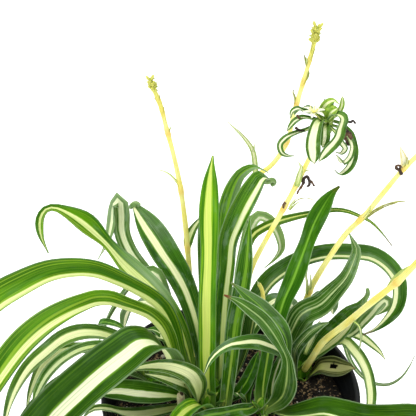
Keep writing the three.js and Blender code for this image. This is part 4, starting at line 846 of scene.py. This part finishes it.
def bractLine(base, heading, lift, length, bend=0.5):  # three points, in mm, that curve over
    line = []
    for share in (0, 0.5, 1):
        tilt = math.radians(lift) - bend * share
        step = outward(heading) * math.cos(tilt) + Vector((0, 0, math.sin(tilt)))
        line.append(base / mm + step * share * length)
    return line


bractProfile = [0.75, 1, 1, 0.9, 0.7, 0.45, 0.12]
joinedSlots = {"bract": 1, "cream": 3, "dried": 5, "olive": 6, "tan": 8}

# leaves and sheaths at the joints: kind of blade, width, heading, fold and middle line
stalkLeaves = {
    "stalk_left": [
        ("cream", 6, 80, 15, [(-26, 50, 209), (-24.8, 50.6, 215.5), (-21.6, 51.4, 223),
         (-16.4, 52.2, 230.5)]),
        ("bract", 2.2, 150, 30, [(-29, 53.9, 246), (-32.2, 54.7, 252.6), (-36.2, 55.3, 257.3),
         (-40.8, 55.8, 259.6), (-45.4, 56, 260.4)]),
        ("olive", 1.6, 160, 40, [(-41.6, 59.7, 302), (-42.7, 59.8, 303.6), (-43.8, 59.9, 304.8)]),
        ("olive", 1.6, 40, 40, [(-40.8, 59.7, 302.4), (-40.1, 59.8, 304.8), (-40.1, 59.9, 307)]),
        ("olive", 2, 40, 40, [(-39, 59.1, 295), (-38.1, 59.3, 297.6), (-37.8, 59.4, 299.8)]),
        ("bract", 1.6, 40, 40, [(-35.6, 58.2, 284), (-34.4, 58.4, 286.5), (-34.2, 58.6, 288.6)]),
    ],
    "stalk_tall": [
        ("bract", 3.6, 90, 20, [(14.8, 71.4, 238), (14.9, 71.8, 248), (14.2, 72.2, 256.5),
         (12.8, 72.5, 263.5), (7.5, 73, 272), (-2.6, 73.2, 282.5)]),
        ("bract", 1.2, 90, 20, [(13.1, 72.4, 262.5), (13.6, 72.8, 265), (13.8, 73, 268)]),
        ("olive", 2.6, 150, 45, [(41.2, 76.7, 316), (40.3, 77, 319.6), (39.6, 77.4, 323.8)]),
        ("bract", 1.8, 60, 40, [(41.6, 76.3, 317.4), (41.8, 76.6, 319.8), (41.1, 76.8, 322)]),
        ("bract", 3.2, 40, 45, [(40.9, 75.4, 305.6), (42.7, 75.5, 308.9), (43.7, 75.8, 311.5),
         (43.2, 76, 314)]),
        ("olive", 1.8, 40, 45, [(42.4, 75, 308), (43.4, 75.2, 310.4), (43.7, 75.4, 312.8)]),
        ("olive", 2.6, 130, 45, [(36.4, 74.8, 292.3), (35.4, 74.9, 297.4), (34.5, 75.1, 300.9),
         (36, 75.2, 303.4)]),
        ("bract", 2.6, 40, 45, [(43.5, 76.7, 319.6), (45.2, 77, 323.2), (46.1, 77.3, 326)]),
        ("olive", 2.2, 120, 45, [(44, 77, 323.6), (43.6, 77.3, 326.7), (43.8, 77.5, 329.6)]),
        ("bract", 2, 60, 45, [(44.5, 77.2, 325), (45.2, 77.4, 327.3), (45.3, 77.5, 329)]),
    ],
    "stalk_plantlet": [
        ("bract", 4.4, 80, 40, [(34.6, 24, 270), (35.7, 24, 277.5), (36.4, 24.3, 282.5),
         (34.6, 24.5, 285.6)]),
        ("bract", 1.3, 30, 40, [(38.2, 25.4, 278), (39.8, 25.5, 278.8), (42, 25.6, 279.3)]),
        ("bract", 1.8, 60, 40, [(31.1, 23.2, 255), (33.2, 23.8, 259.5), (35.2, 24.2, 262.6)]),
        ("bract", 1.6, 40, 40, [(31.7, 23.2, 254.6), (34.9, 23.8, 258.2), (37.6, 24.2, 260)]),
    ],
    "stalk_right": [
        ("bract", 2.2, 90, 35, [(45.9, 31.9, 186.6), (45.4, 30.6, 197), (44.4, 29.6, 203),
         (45, 28.4, 209.5)]),
        ("bract", 1.8, 80, 35, [(47.4, 31.6, 189), (47.5, 30, 198), (46.5, 28.8, 206)]),
        ("bract", 1.8, 60, 40, [(72.4, 22.8, 248), (74.7, 21.9, 253.5), (75.7, 21, 259)]),
        ("bract", 1.6, 60, 40, [(74.7, 22.3, 253.4), (76.9, 21.3, 257.8), (78.2, 20.4, 262.3)]),
        ("tan", 4.4, 88, 10, [(88.7, 15.7, 285), (88.8, 14.6, 290.8), (87.2, 13.7, 296.2),
         (84.9, 13, 301.6)]),
        ("olive", 2, 80, 30, [(89.5, 14.7, 287.4), (89.9, 13.6, 291.5), (89.6, 12.8, 295.6)]),
    ],
    "stalk_front_right": [
        ("bract", 5, 10, 40, [(87.5, 2.5, 216), (94.5, 3.5, 226), (105, 5.5, 233)]),
        ("bract", 4.2, 20, 40, [(108.5, -16, 271.5), (113, -14.5, 278.5), (119.5, -12, 282.5)]),
    ],
    "stalk_stub": [
        ("bract", 2, 80, 30, [(17.2, 17.4, 203), (15.8, 17.4, 207), (14.6, 17.4, 209.6)]),
    ],
}

# thin pale leaves (olive) and dried hooks, as threads: kind, radius at the root and middle line
threads = {
    "stalk_plantlet": [
        ("olive", 0.35, [(32.7, 23.8, 258), (36.4, 24.3, 261.3), (40.2, 24.6, 261.9), (44.8, 24.7, 260.4)]),
        ("dried", 0.95, [(37.9, 24.4, 272), (38.3, 24.4, 274.7), (39.9, 24.5, 276), (41.2, 24.4, 272.8),
         (41.3, 24.3, 270.3), (39.7, 24.2, 269.7)]),
        ("dried", 0.75, [(40.6, 24.5, 274.1), (42.3, 24.4, 272.8), (44.4, 24.3, 269.6)]),
        ("dried", 0.8, [(38.5, 24.4, 272.9), (37, 24.2, 269.1), (35.8, 24.1, 267.2), (35, 23.8, 264.6)]),
        ("dried", 0.8, [(28.9, 23, 260.2), (27.9, 22.8, 258.8), (28, 22.7, 256.3)]),
    ],
    "stalk_right": [
        ("olive", 0.6, [(73.3, 24.1, 248), (78.4, 22.4, 255.4), (84.7, 20.6, 260.8), (89.7, 19.5, 263),
         (94.3, 18.7, 263.9)]),
        ("olive", 0.5, [(74.4, 24, 248.8), (79.6, 22.3, 254.9), (84.8, 20.7, 259.6), (89.8, 19.7, 262.3)]),
        ("dried", 0.9, [(88.5, 15, 283.2), (86.9, 14.9, 286), (85.2, 15, 287.2), (84.8, 14.7, 288.9),
         (86.1, 14.5, 289.4), (87.1, 14.6, 288), (86.2, 14.8, 286.9)]),
    ],
    "plantlet": [
        ("dried", 2.3, [(56.6, 23, 305), (58.6, 23.8, 301.5), (59.8, 23.8, 299.1), (61, 24, 296)]),
        ("dried", 1.8, [(57.8, 22.8, 304.4), (60, 23.5, 302.6), (61.3, 23.6, 299.6)]),
        ("dried", 0.75, [(57.6, 24, 310.4), (60.4, 24, 309.9), (61.4, 24, 310.8), (63, 24, 308.7)]),
        ("dried", 0.7, [(31.4, 21.6, 308.1), (34.1, 21.6, 306.3), (37.2, 21.8, 305.7)]),
        ("dried", 0.6, [(32, 22, 315.2), (33.2, 22, 313.5), (35.7, 22, 313.1)]),
    ],
}

stalkForm = {
    "steps": 200, "jointReach": 2.6, "jointSwell": 0.28, "unevenness": 0.04, "budsPerCluster": 4,
    "budStretch": 0.04, "budTurn": 2.4,  # the share of the stalk that bears buds, and radians between them
    "budStem": 0.3, "budWidth": 0.95, "bractLift": 66, "bractLength": 0.55, "bractWidth": 1.1,
}

for node, stalk in stalks.items():
    bm = bmesh.new()
    line = smoothLine(stalk["line"])
    steps = stalkForm["steps"]
    even = evenly(line, steps)

    def jointAt(share):
        height = even[round(share * steps)].z / mm
        reach = stalkForm["jointReach"]
        return max([math.exp(-((height - joint) / reach) ** 2) for joint in stalk["joints"]] or [0])

    def radiusAt(share):
        swell = 1 + stalkForm["jointSwell"] * jointAt(share) + stalkForm["unevenness"] * math.sin(share * 40)
        return valueAt(stalk["thickness"], share) * mm / 2 * swell

    green = 0.8 if stalk["buds"][0] else 0.3
    addTube(bm, line, radiusAt, lambda v: Vector((v, jointAt(v), green)))
    for i, (kind, width, heading, fold, middle) in enumerate(stalkLeaves.get(node, [])):
        addBlade(bm, middle, heading, width, fold, 0, (0.35, 0, 0.13 * i, 0, 0.2), rows=18, columns=8,
                 wave=0.3, slot=joinedSlots[kind], profile=bractProfile)
    addThreads(bm, threads.get(node, []), joinedSlots)
    count, reach, size = stalk["buds"]
    rng = random.Random(17)
    up = tangentAt(line, len(line) - 2)
    buds = count * stalkForm["budsPerCluster"]
    for i in range(buds):  # they crowd round the last stretch and lean along it
        base = even[round((1 - stalkForm["budStretch"] * i / buds) * steps)]
        turn = math.degrees(i * stalkForm["budTurn"])
        along = (outward(turn) * (0.5 + 0.4 * rng.random()) + up).normalized()
        centre = base + along * reach * mm * (0.15 + 0.3 * rng.random())
        addTube(bm, [base, base.lerp(centre, 0.5), centre], lambda share: size * stalkForm["budStem"] * mm,
                lambda v: Vector((0.9, 0, 1)), sides=8, rows=5)
        addBead(bm, centre, along, size * (1.5 + 0.8 * rng.random()) * mm, size * stalkForm["budWidth"] * mm,
                (0.94, 0.1, 1))
        bract = bractLine(base, turn, stalkForm["bractLift"], reach * stalkForm["bractLength"])
        addBlade(bm, bract, turn, size * stalkForm["bractWidth"], [50, 30], 0,
                 (0.3, 0, 0.1 * i, 0, 0.8), rows=8, columns=4, wave=0.1, slot=1, profile=bractProfile)
    finishPiece(bm, pieceName(node), [node],
                [stalkMaterial, *bladeMaterials["bract"], *bladeMaterials["cream"], driedMaterial,
                 *bladeMaterials["olive"], *bladeMaterials["tan"]])
print("stalks made:", len(stalks))


# plantlet on its stalk: rosette, heart and one open flower
plantlet = {
    "base": (48, 28, 305), "heartLength": 9.6, "heartWidth": 8.4, "heartLeaves": 7, "heartLeafWidth": 4.2,
    "flower": (41, 25, 314.5), "petals": 6, "petalLength": 7, "petalWidth": 2.6, "stamenRadius": 0.2,
    "stemRadius": 0.45, "antherLength": 1.1, "antherWidth": 0.6,
}
# heading, width, middle line, kind of blade, stripe half width and stripe shift
plantletLeaves = [
    ([240, 270], [6, 6.5, 7.5, 8.5, 9], [(47, 27, 307), (43.5, 22, 311), (41.5, 17, 309.5), (40.5, 15, 304),
     (41, 15, 297), (42, 15, 290)], "young", 0.48, 0.12),
    ([330, 260], 6.5, [(49, 26, 309), (52, 22, 315), (55, 19, 315), (54, 17, 310), (53, 16, 305),
     (48, 15, 298), (44, 14, 292)], "young", 0.4, 0.15),
    ([200, 215], 4.5, [(46, 27, 308), (40, 25, 311), (35, 23, 313), (31, 21, 312), (27, 20, 307)], "young",
     0.22, 0),
    ([195, 215, 270, 330], 3.5, [(45, 26, 308), (40, 23, 307), (37, 22, 306), (32, 21, 305), (27, 20, 303),
     (24, 20, 299), (25, 20, 294), (28, 20, 292), (32, 20, 292)], "young", 0.25, 0),
    ([170, 200], 4.5, [(45, 30, 310), (41, 29, 312), (36, 28, 314), (33, 27, 316), (30, 26, 315),
     (29, 26, 311)], "young", 0.3, 0),
    ([90, 60, 0], 4.5, [(46, 30, 310), (46, 30, 314), (48, 29, 318), (51, 28, 320), (54, 27, 319)],
     "tender", 0.3, 0),
    ([60, 90], 2.8, [(50, 31, 308), (54, 31, 311), (56, 31, 315), (56, 31, 321)], "tender", 0.3, 0),
    ([50, 30], 7, [(49, 27, 310), (50, 25, 315), (53, 24, 318)], "tender", 0.15, 0),
    ([350, 330, 290, 250, 210], 4.5, [(51, 28, 308), (55, 27, 307), (58, 26, 305), (61, 25, 302),
     (63, 24, 296), (64, 24, 291), (63, 23, 285), (60, 23, 280), (57, 22, 279), (54, 22, 282)], "young",
     0.32, 0.4),
    ([340, 300, 240], 3.5, [(50, 26, 307), (55, 24, 306), (58, 23, 304), (62, 22, 297), (61, 21, 290),
     (58, 21, 287), (54, 21, 292)], "young", 0.5, 0.2),
    ([310, 290, 200], 3, [(49, 25, 307), (53, 20, 305), (56, 19, 300), (58, 19, 297), (56, 19, 294),
     (53, 19, 295)], "young", 0.5, 0),
    ([280, 270], 5, [(48, 26, 308), (47, 19, 307), (47, 18, 303), (46, 18, 298)], "young", 0.35, 0.2),
    (88, 6, [(49, 32, 308), (51, 42, 312), (52, 51, 305), (52, 54, 295)], "young", 0.3, 0),
    (130, 5, [(46, 31, 308), (38, 39, 310), (33, 46, 302)], "young", 0.3, 0),
]

plantletSlots = {"young": 0, "tender": 2, "petal": 4}
plantletMaterials = [material for kind in plantletSlots for material in bladeMaterials[kind]]

bm = bmesh.new()
for i, (heading, width, line, kind, stripe, shift) in enumerate(plantletLeaves):
    addBlade(bm, line, heading, width, [45, 20, 15], 0, (stripe, shift, 0.09 * i, 0, 0.3), rows=36,
             columns=8, wave=0.3, slot=plantletSlots[kind])
heart = Vector(plantlet["base"])
for i in range(plantlet["heartLeaves"]):  # short young leaves that close the middle
    turn = 51 * i
    out = outward(turn)
    foot = heart + out * 1.2
    line = [foot, foot + out * 2 + upward * 4, foot + out * (4 + i % 3) + upward * (6 + i % 2)]
    addBlade(bm, line, turn, plantlet["heartLeafWidth"], [50, 30], 0, (0.3, 0, 0.14 * i, 0, 0),
             rows=14, columns=6, wave=0.3, slot=plantletSlots["tender"])
finishPiece(bm, "plantletLeaves", ["plantlet"], plantletMaterials, bladeForm["thinThickness"])

bm = bmesh.new()
addBead(bm, heart * mm, upward, plantlet["heartLength"] * mm, plantlet["heartWidth"] * mm, (0, 0.2, 0))
finishPiece(bm, "plantletHeart", [], [bladeMaterials["tender"][0]])

bm = bmesh.new()
addThreads(bm, threads["plantlet"], {"dried": 0})
finishPiece(bm, "plantletDriedRoots", [], [driedMaterial])

bm = bmesh.new()
flower = Vector(plantlet["flower"])
bow = (heart + flower) / 2 + Vector((-1, 0, 2))
addTube(bm, [heart * mm, bow * mm, flower * mm], lambda share: plantlet["stemRadius"] * mm,
        lambda v: Vector((0.8, 0, 0.3)), sides=8, rows=10, slot=2)
for i in range(plantlet["petals"]):
    turn = 360 * i / plantlet["petals"] + 15
    out = outward(turn)
    reach = out * plantlet["petalLength"]
    addBlade(bm, [flower, flower + reach * 0.5 + upward * 1.2, flower + reach * 0.95 + upward * 0.8], turn,
             plantlet["petalWidth"], 25, 0, (0.3, 0, 0.2 * i, 0, 0), rows=12, columns=6, wave=0.3)
    tip = flower + out * 2.4 + upward * 3
    addTube(bm, [flower * mm, (flower + out * 1.4 + upward * 1.8) * mm, tip * mm],
            lambda share: plantlet["stamenRadius"] * mm, lambda v: Vector((0.5, 0, 0)), sides=6, rows=6,
            slot=2)
    addBead(bm, tip * mm, (out + upward).normalized(), plantlet["antherLength"] * mm,
            plantlet["antherWidth"] * mm, (0, 0, 0), slot=3)
antherMaterial = makeSpeckled("antherSkin", 0.2, [(900, 2, 0.5)], (0.9, 0.85, 0.45),
                              [(0, 0.4, 0.6, 1.0, (0.72, 0.62, 0.2))], bump=(0, 0.3, 0.0002))
finishPiece(bm, "plantletFlower", [], [*bladeMaterials["petal"], stalkMaterial, antherMaterial])
print("plantlet made")


# shrivelled tips that curl at the ends of three leaves: radius and middle line
curledTips = {
    "leafUprightRightTip": (1.5, [(14.6, 44.5, 258.5), (17, 46, 258.8), (20.6, 47.5, 257.6),
        (23.4, 48.5, 257.8), (24.4, 49, 255.6), (22.4, 48.5, 254.2)]),
    "leafBroadLeftTip": (1.5, [(-60.2, 59, 231), (-58.6, 58.6, 233.6), (-56.4, 58.4, 234.6),
        (-54, 58, 233.4)]),
    "leafDarkRightTip": (1.3, [(78.6, 26, 183), (80.4, 26, 188), (81.4, 26, 192), (80.8, 26, 196)]),
}
for name, (radius, line) in curledTips.items():
    bm = bmesh.new()
    addTube(bm, smoothLine(line, 8), lambda share: radius * mm * (0.75 + 0.4 * math.sin(share * 3)),
            lambda v: Vector((0.5 * v, 0, 0)), sides=14, rows=30)
    finishPiece(bm, name, [], [bladeMaterials["grey"][1]])
print("curled tips made:", len(curledTips))


# pot: turned shell with a rolled lip, a band under it and drain holes
pot = {"height": 140, "rim": 78, "base": 54, "wall": 1.6, "floor": 2.2, "lip": 3.6, "band": 13,
       "drains": 6, "drainRadius": 4, "drainCircle": 38, "drainDepth": 12, "sides": 120, "softEdge": 0.25}
# steps of the outline: out from the base and up from the ground, then out from the rim and up from the top
potSteps = {
    "foot": [(-6, 0), (-5, 0.6), (-2.2, 0.6), (-1.4, 0), (-0.4, 0.4), (0, 2)],
    "edge": [(-0.25, -6), (0, -2.2), (-0.1, -1.1), (-0.7, -0.3), (-1.6, 0)],
    "mouth": [(1.3, 0), (0.4, -0.4), (0, -1.4)],  # out from the mouth
}


def innerRadius(z):
    share = (z - pot["floor"]) / (pot["height"] - pot["floor"])
    return (pot["base"] - pot["wall"]) * (1 - share) + (pot["rim"] - pot["lip"]) * share


def potProfile():  # radius and height, from the middle of the underside round to the middle of the floor
    base, top, rim, floor = pot["base"], pot["height"], pot["rim"], pot["floor"]
    bandFoot = top - pot["band"]
    outer = innerRadius(bandFoot) + pot["wall"]
    profile = [(0, 0)] + [(base + out, up) for out, up in potSteps["foot"]]
    profile += [(base + (outer - base) * share, 2 + (bandFoot - 2) * share) for share in (0.25, 0.5, 0.75)]
    profile += [(outer, bandFoot - 0.6), (outer + 0.5, bandFoot), (rim - 1, bandFoot + 0.2),
                (rim - 0.5, bandFoot + 0.8)]
    profile += [(rim + out, top + up) for out, up in potSteps["edge"]]
    profile += [(rim - pot["lip"] + out, top + up) for out, up in potSteps["mouth"]]
    profile += [(innerRadius(bandFoot * share), bandFoot * share) for share in (1, 0.75, 0.5, 0.25)]
    return profile + [(innerRadius(floor) - 0.2, floor + 1.2), (innerRadius(floor) - 1.5, floor), (0, floor)]


potMaterial = makeSpeckled(
    "potPlastic", 0.14, [(900, 3, 0.5), (35, 5, 0.6), (6, 3, 0.5, 4, 4, 260)], (0.008, 0.009, 0.011),
    [(1, 0.5, 0.75, 0.5, (0.045, 0.042, 0.038)), (2, 0.62, 0.75, 0.35, (0.09, 0.09, 0.09))],
    bump=(0, 0.15, 0.0002), roughness=(1, 0.3, 0.5))

bm = bmesh.new()
verts = [bm.verts.new((radius * mm, 0, z * mm)) for radius, z in potProfile()]
edges = [bm.edges.new(pair) for pair in zip(verts, verts[1:])]
bmesh.ops.spin(bm, geom=verts + edges, axis=(0, 0, 1), cent=(0, 0, 0), angle=2 * math.pi, steps=pot["sides"],
               use_merge=True)
bmesh.ops.remove_doubles(bm, verts=bm.verts[:], dist=weldGap)
bmesh.ops.recalc_face_normals(bm, faces=bm.faces[:])
for face in bm.faces:
    face.smooth = True
shell = finishPiece(bm, "potShell", ["pot"], [potMaterial])

cutter = bmesh.new()
for i in range(pot["drains"]):
    place = Matrix.Translation(outward(360 * (i + 0.5) / pot["drains"]) * pot["drainCircle"] * mm)
    bmesh.ops.create_cone(cutter, cap_ends=True, segments=24, radius1=pot["drainRadius"] * mm,
                          radius2=pot["drainRadius"] * mm, depth=pot["drainDepth"] * mm, matrix=place)
cutterMesh = bpy.data.meshes.new("drains")
cutter.to_mesh(cutterMesh)
cutter.free()
drains = bpy.data.objects.new("drains", cutterMesh)
bpy.context.scene.collection.objects.link(drains)
cut = shell.modifiers.new("drains", "BOOLEAN")
cut.object = drains
cut.operation = "DIFFERENCE"
bpy.context.view_layer.update()
drilled = bpy.data.meshes.new_from_object(shell.evaluated_get(bpy.context.evaluated_depsgraph_get()))
shell.modifiers.remove(cut)
shell.data = drilled
bpy.data.objects.remove(drains)
corners = shell.modifiers.new("corners", "BEVEL")
corners.width = pot["softEdge"] * mm
corners.segments = 2
corners.limit_method = "ANGLE"
corners.angle_limit = math.radians(40)
print("pot made")


# soil: an uneven bed with bark, perlite and fibres on it
soil = {"top": soilTop, "foot": 2.5, "lump": 2.0, "seed": 21, "undersideRows": 0.08, "sideRows": 0.16,
        "batch": 50}
soilEdge = innerRadius(soil["top"]) - 0.4


def soilHeight(x, y):  # millimetres
    place = Vector((x, y, 0))
    broad = noise.noise(place * 0.045) + 0.5 * noise.noise(place * 0.12)
    fine = 0.35 * noise.noise(place * 0.4) + 0.25 * noise.noise(place * 0.9)
    return soil["top"] + soil["lump"] * (0.6 * broad + fine)


def soilPlace(u, v):  # the underside, then the side up to the edge, then the uneven top
    turn, below = 2 * math.pi * u, soil["sideRows"]
    low, rise = innerRadius(soil["foot"]) - 0.6, soil["top"] - 1 - soil["foot"]
    if v < below:
        share = v / soil["undersideRows"]
        up = max(0, share - 1)
        radius = low * min(1, share) + (soilEdge - low) * up
        z = soil["foot"] + rise * up
    else:
        radius = soilEdge * (1 - (v - below) / (1 - below))
        level = v <= below + 0.005
        z = soil["top"] - 1 if level else soilHeight(radius * math.cos(turn), radius * math.sin(turn))
    return Vector((radius * math.cos(turn), radius * math.sin(turn), z)) * mm


def barkSize(rng):
    return (0.9 + 4.0 * rng.random() ** 3, 0.6 + 1.2 * rng.random(), 0.5 + 0.8 * rng.random())


def perliteSize(rng):
    side = 0.9 + 2.6 * rng.random() ** 2
    return (side, side * (0.7 + 0.3 * rng.random()), side * 0.7)


def fibreSize(rng):
    return (3 + 6 * rng.random(), 0.35 + 0.3 * rng.random(), 0.35)


# loose bits: how many, their size, then their material's name, dark colour, light colour and noise scale
bits = {
    "soilBark": (2600, barkSize, "barkBits", (0.01, 0.006, 0.003), (0.34, 0.23, 0.12), 110),
    "soilPerlite": (300, perliteSize, "perliteBits", (0.55, 0.5, 0.38), (0.9, 0.87, 0.76), 220),
    "soilFibres": (320, fibreSize, "fibreBits", (0.14, 0.09, 0.05), (0.6, 0.46, 0.28), 200),
}


def scatterBits(name, count, sizeAt, material, rng):
    bm, part = bmesh.new(), bmesh.new()
    for i in range(count):
        radius, turn = (soilEdge - 2) * math.sqrt(rng.random()), 2 * math.pi * rng.random()
        x, y = radius * math.cos(turn), radius * math.sin(turn)
        size = sizeAt(rng)
        place = Matrix.Translation(Vector((x, y, soilHeight(x, y) + 0.4 * min(size))) * mm)
        place @= Matrix.Rotation(2 * math.pi * rng.random(), 4, "Z")
        place @= Matrix.Rotation(0.5 * (rng.random() - 0.5), 4, "X")
        place @= Matrix.Rotation(0.6 * (rng.random() - 0.5), 4, "Y")
        place @= Matrix.Diagonal((*(Vector(size) * mm / 2), 1))
        for vert in bmesh.ops.create_icosphere(part, subdivisions=1, radius=1.0, matrix=place)["verts"]:
            push = Vector((rng.random() - 0.5, rng.random() - 0.5, rng.random() - 0.5))
            vert.co += push * min(size) * 0.3 * mm
        if (i + 1) % soil["batch"] == 0 or i == count - 1:  # small batches keep the operator quick
            batch = bpy.data.meshes.new("batch")
            part.to_mesh(batch)
            bm.from_mesh(batch)
            bpy.data.meshes.remove(batch)
            part.clear()
    part.free()
    finishPiece(bm, name, [], [material])


bm = bmesh.new()
addSheet(bm, 180, 100, soilPlace, closed=True)
bmesh.ops.recalc_face_normals(bm, faces=bm.faces[:])
finishPiece(bm, "soilBed", ["soil"], [makeSpeckled(
    "pottingMix", 0.3, [(380, 5, 0.65), (60, 3, 0.5), (700, 1, 0.5)], (0.002, 0.0015, 0.001),
    [(0, 0.4, 0.62, 1.0, (0.016, 0.011, 0.006)), (1, 0.5, 0.75, 0.5, (0.022, 0.012, 0.007)),
     (2, 0.66, 0.72, 0.9, (0.34, 0.25, 0.14))], bump=(0, 1.0, 0.0016), roughness=(0, 0.75, 1.0))])
for i, (name, (count, sizeAt, *look)) in enumerate(bits.items()):
    scatterBits(name, count, sizeAt, makeBitMaterial(*look), random.Random(soil["seed"] + i))
print("soil made")


# dried stump of a cut leaf, with two shrivelled threads
stump = {
    "radius": 2.8, "line": [(-29, -15, 112), (-29, -15, 124), (-29.6, -15, 138), (-29.4, -15, 152)],
    "threads": [("dried", 1.0, [(-29.4, -15, 149), (-28.2, -15, 156), (-27.2, -15, 162), (-26.8, -15, 166),
                                (-25.6, -15, 169.5)]),
                ("dried", 0.7, [(-28.6, -15.6, 150), (-29.6, -16, 156), (-29, -16, 160)])],
}
bm = bmesh.new()
addTube(bm, smoothLine(stump["line"]),
        lambda share: stump["radius"] * mm * (1 - 0.25 * share + 0.1 * math.sin(share * 23)),
        lambda v: Vector((v, 0, 0)), sides=18)
addThreads(bm, stump["threads"], {"dried": 1})
finishPiece(bm, "stumpDried", ["stump_dried"],
            [makeBitMaterial("stumpSkin", (0.3, 0.18, 0.07), (0.8, 0.76, 0.45), 90.0), driedMaterial])


# camera, light and floor
stage = {
    "cameraPlace": (-13.57, -383.07, 540.62),
    "cameraPitch": 35.0,        # degrees below the horizon
    "focal": 900 / 416 * 36,    # lens for a 36 mm wide sensor
    "lights": {"keyLight": ((-0.5, -0.35, 1.5), 15.0, 1.2), "fillLight": ((0.9, -0.9, 0.8), 4.0, 0.9),
               "backLight": ((0.3, 1.1, 1.2), 8.0, 1.0)},  # place in metres, power and size
    "aim": (0, 0, 0.18),
    "worldLight": 0.6,
    "floorSize": 3.0,
    "floorColour": (0.93, 0.93, 0.92),
    "floorGlow": 0.6,
}
white = colour(1, 1, 1)

bm = bmesh.new()
bmesh.ops.create_grid(bm, x_segments=1, y_segments=1, size=stage["floorSize"])
floorMesh = bpy.data.meshes.new("floor")
bm.to_mesh(floorMesh)
bm.free()
floor = bpy.data.objects.new("floor", floorMesh)
bpy.context.scene.collection.objects.link(floor)
paint, tree, shader = startMaterial("floorPaint", 0.8, 0.2)
shader.inputs["Base Color"].default_value = colour(*stage["floorColour"])
shader.inputs["Emission Color"].default_value = white
shader.inputs["Emission Strength"].default_value = stage["floorGlow"]
floorMesh.materials.append(paint)

for name, (place, power, size) in stage["lights"].items():
    lamp = bpy.data.lights.new(name, "AREA")
    lamp.energy = power
    lamp.size = size
    holder = bpy.data.objects.new(name, lamp)
    holder.location = place
    holder.rotation_euler = (Vector(stage["aim"]) - Vector(place)).to_track_quat("-Z", "Y").to_euler()
    bpy.context.scene.collection.objects.link(holder)

world = bpy.data.worlds.new("studio")
world.use_nodes = True
world.node_tree.nodes["Background"].inputs["Color"].default_value = white
world.node_tree.nodes["Background"].inputs["Strength"].default_value = stage["worldLight"]
bpy.context.scene.world = world
bpy.context.scene.view_settings.view_transform = "Standard"

cameraData = bpy.data.cameras.new("camera")
cameraData.sensor_width = 36
cameraData.lens = stage["focal"]
cameraData.clip_start = 0.01
camera = bpy.data.objects.new("camera", cameraData)
camera.location = Vector(stage["cameraPlace"]) * mm
camera.rotation_euler = (math.radians(90 - stage["cameraPitch"]), 0, 0)
bpy.context.scene.collection.objects.link(camera)
bpy.context.scene.camera = camera
print("stage made")
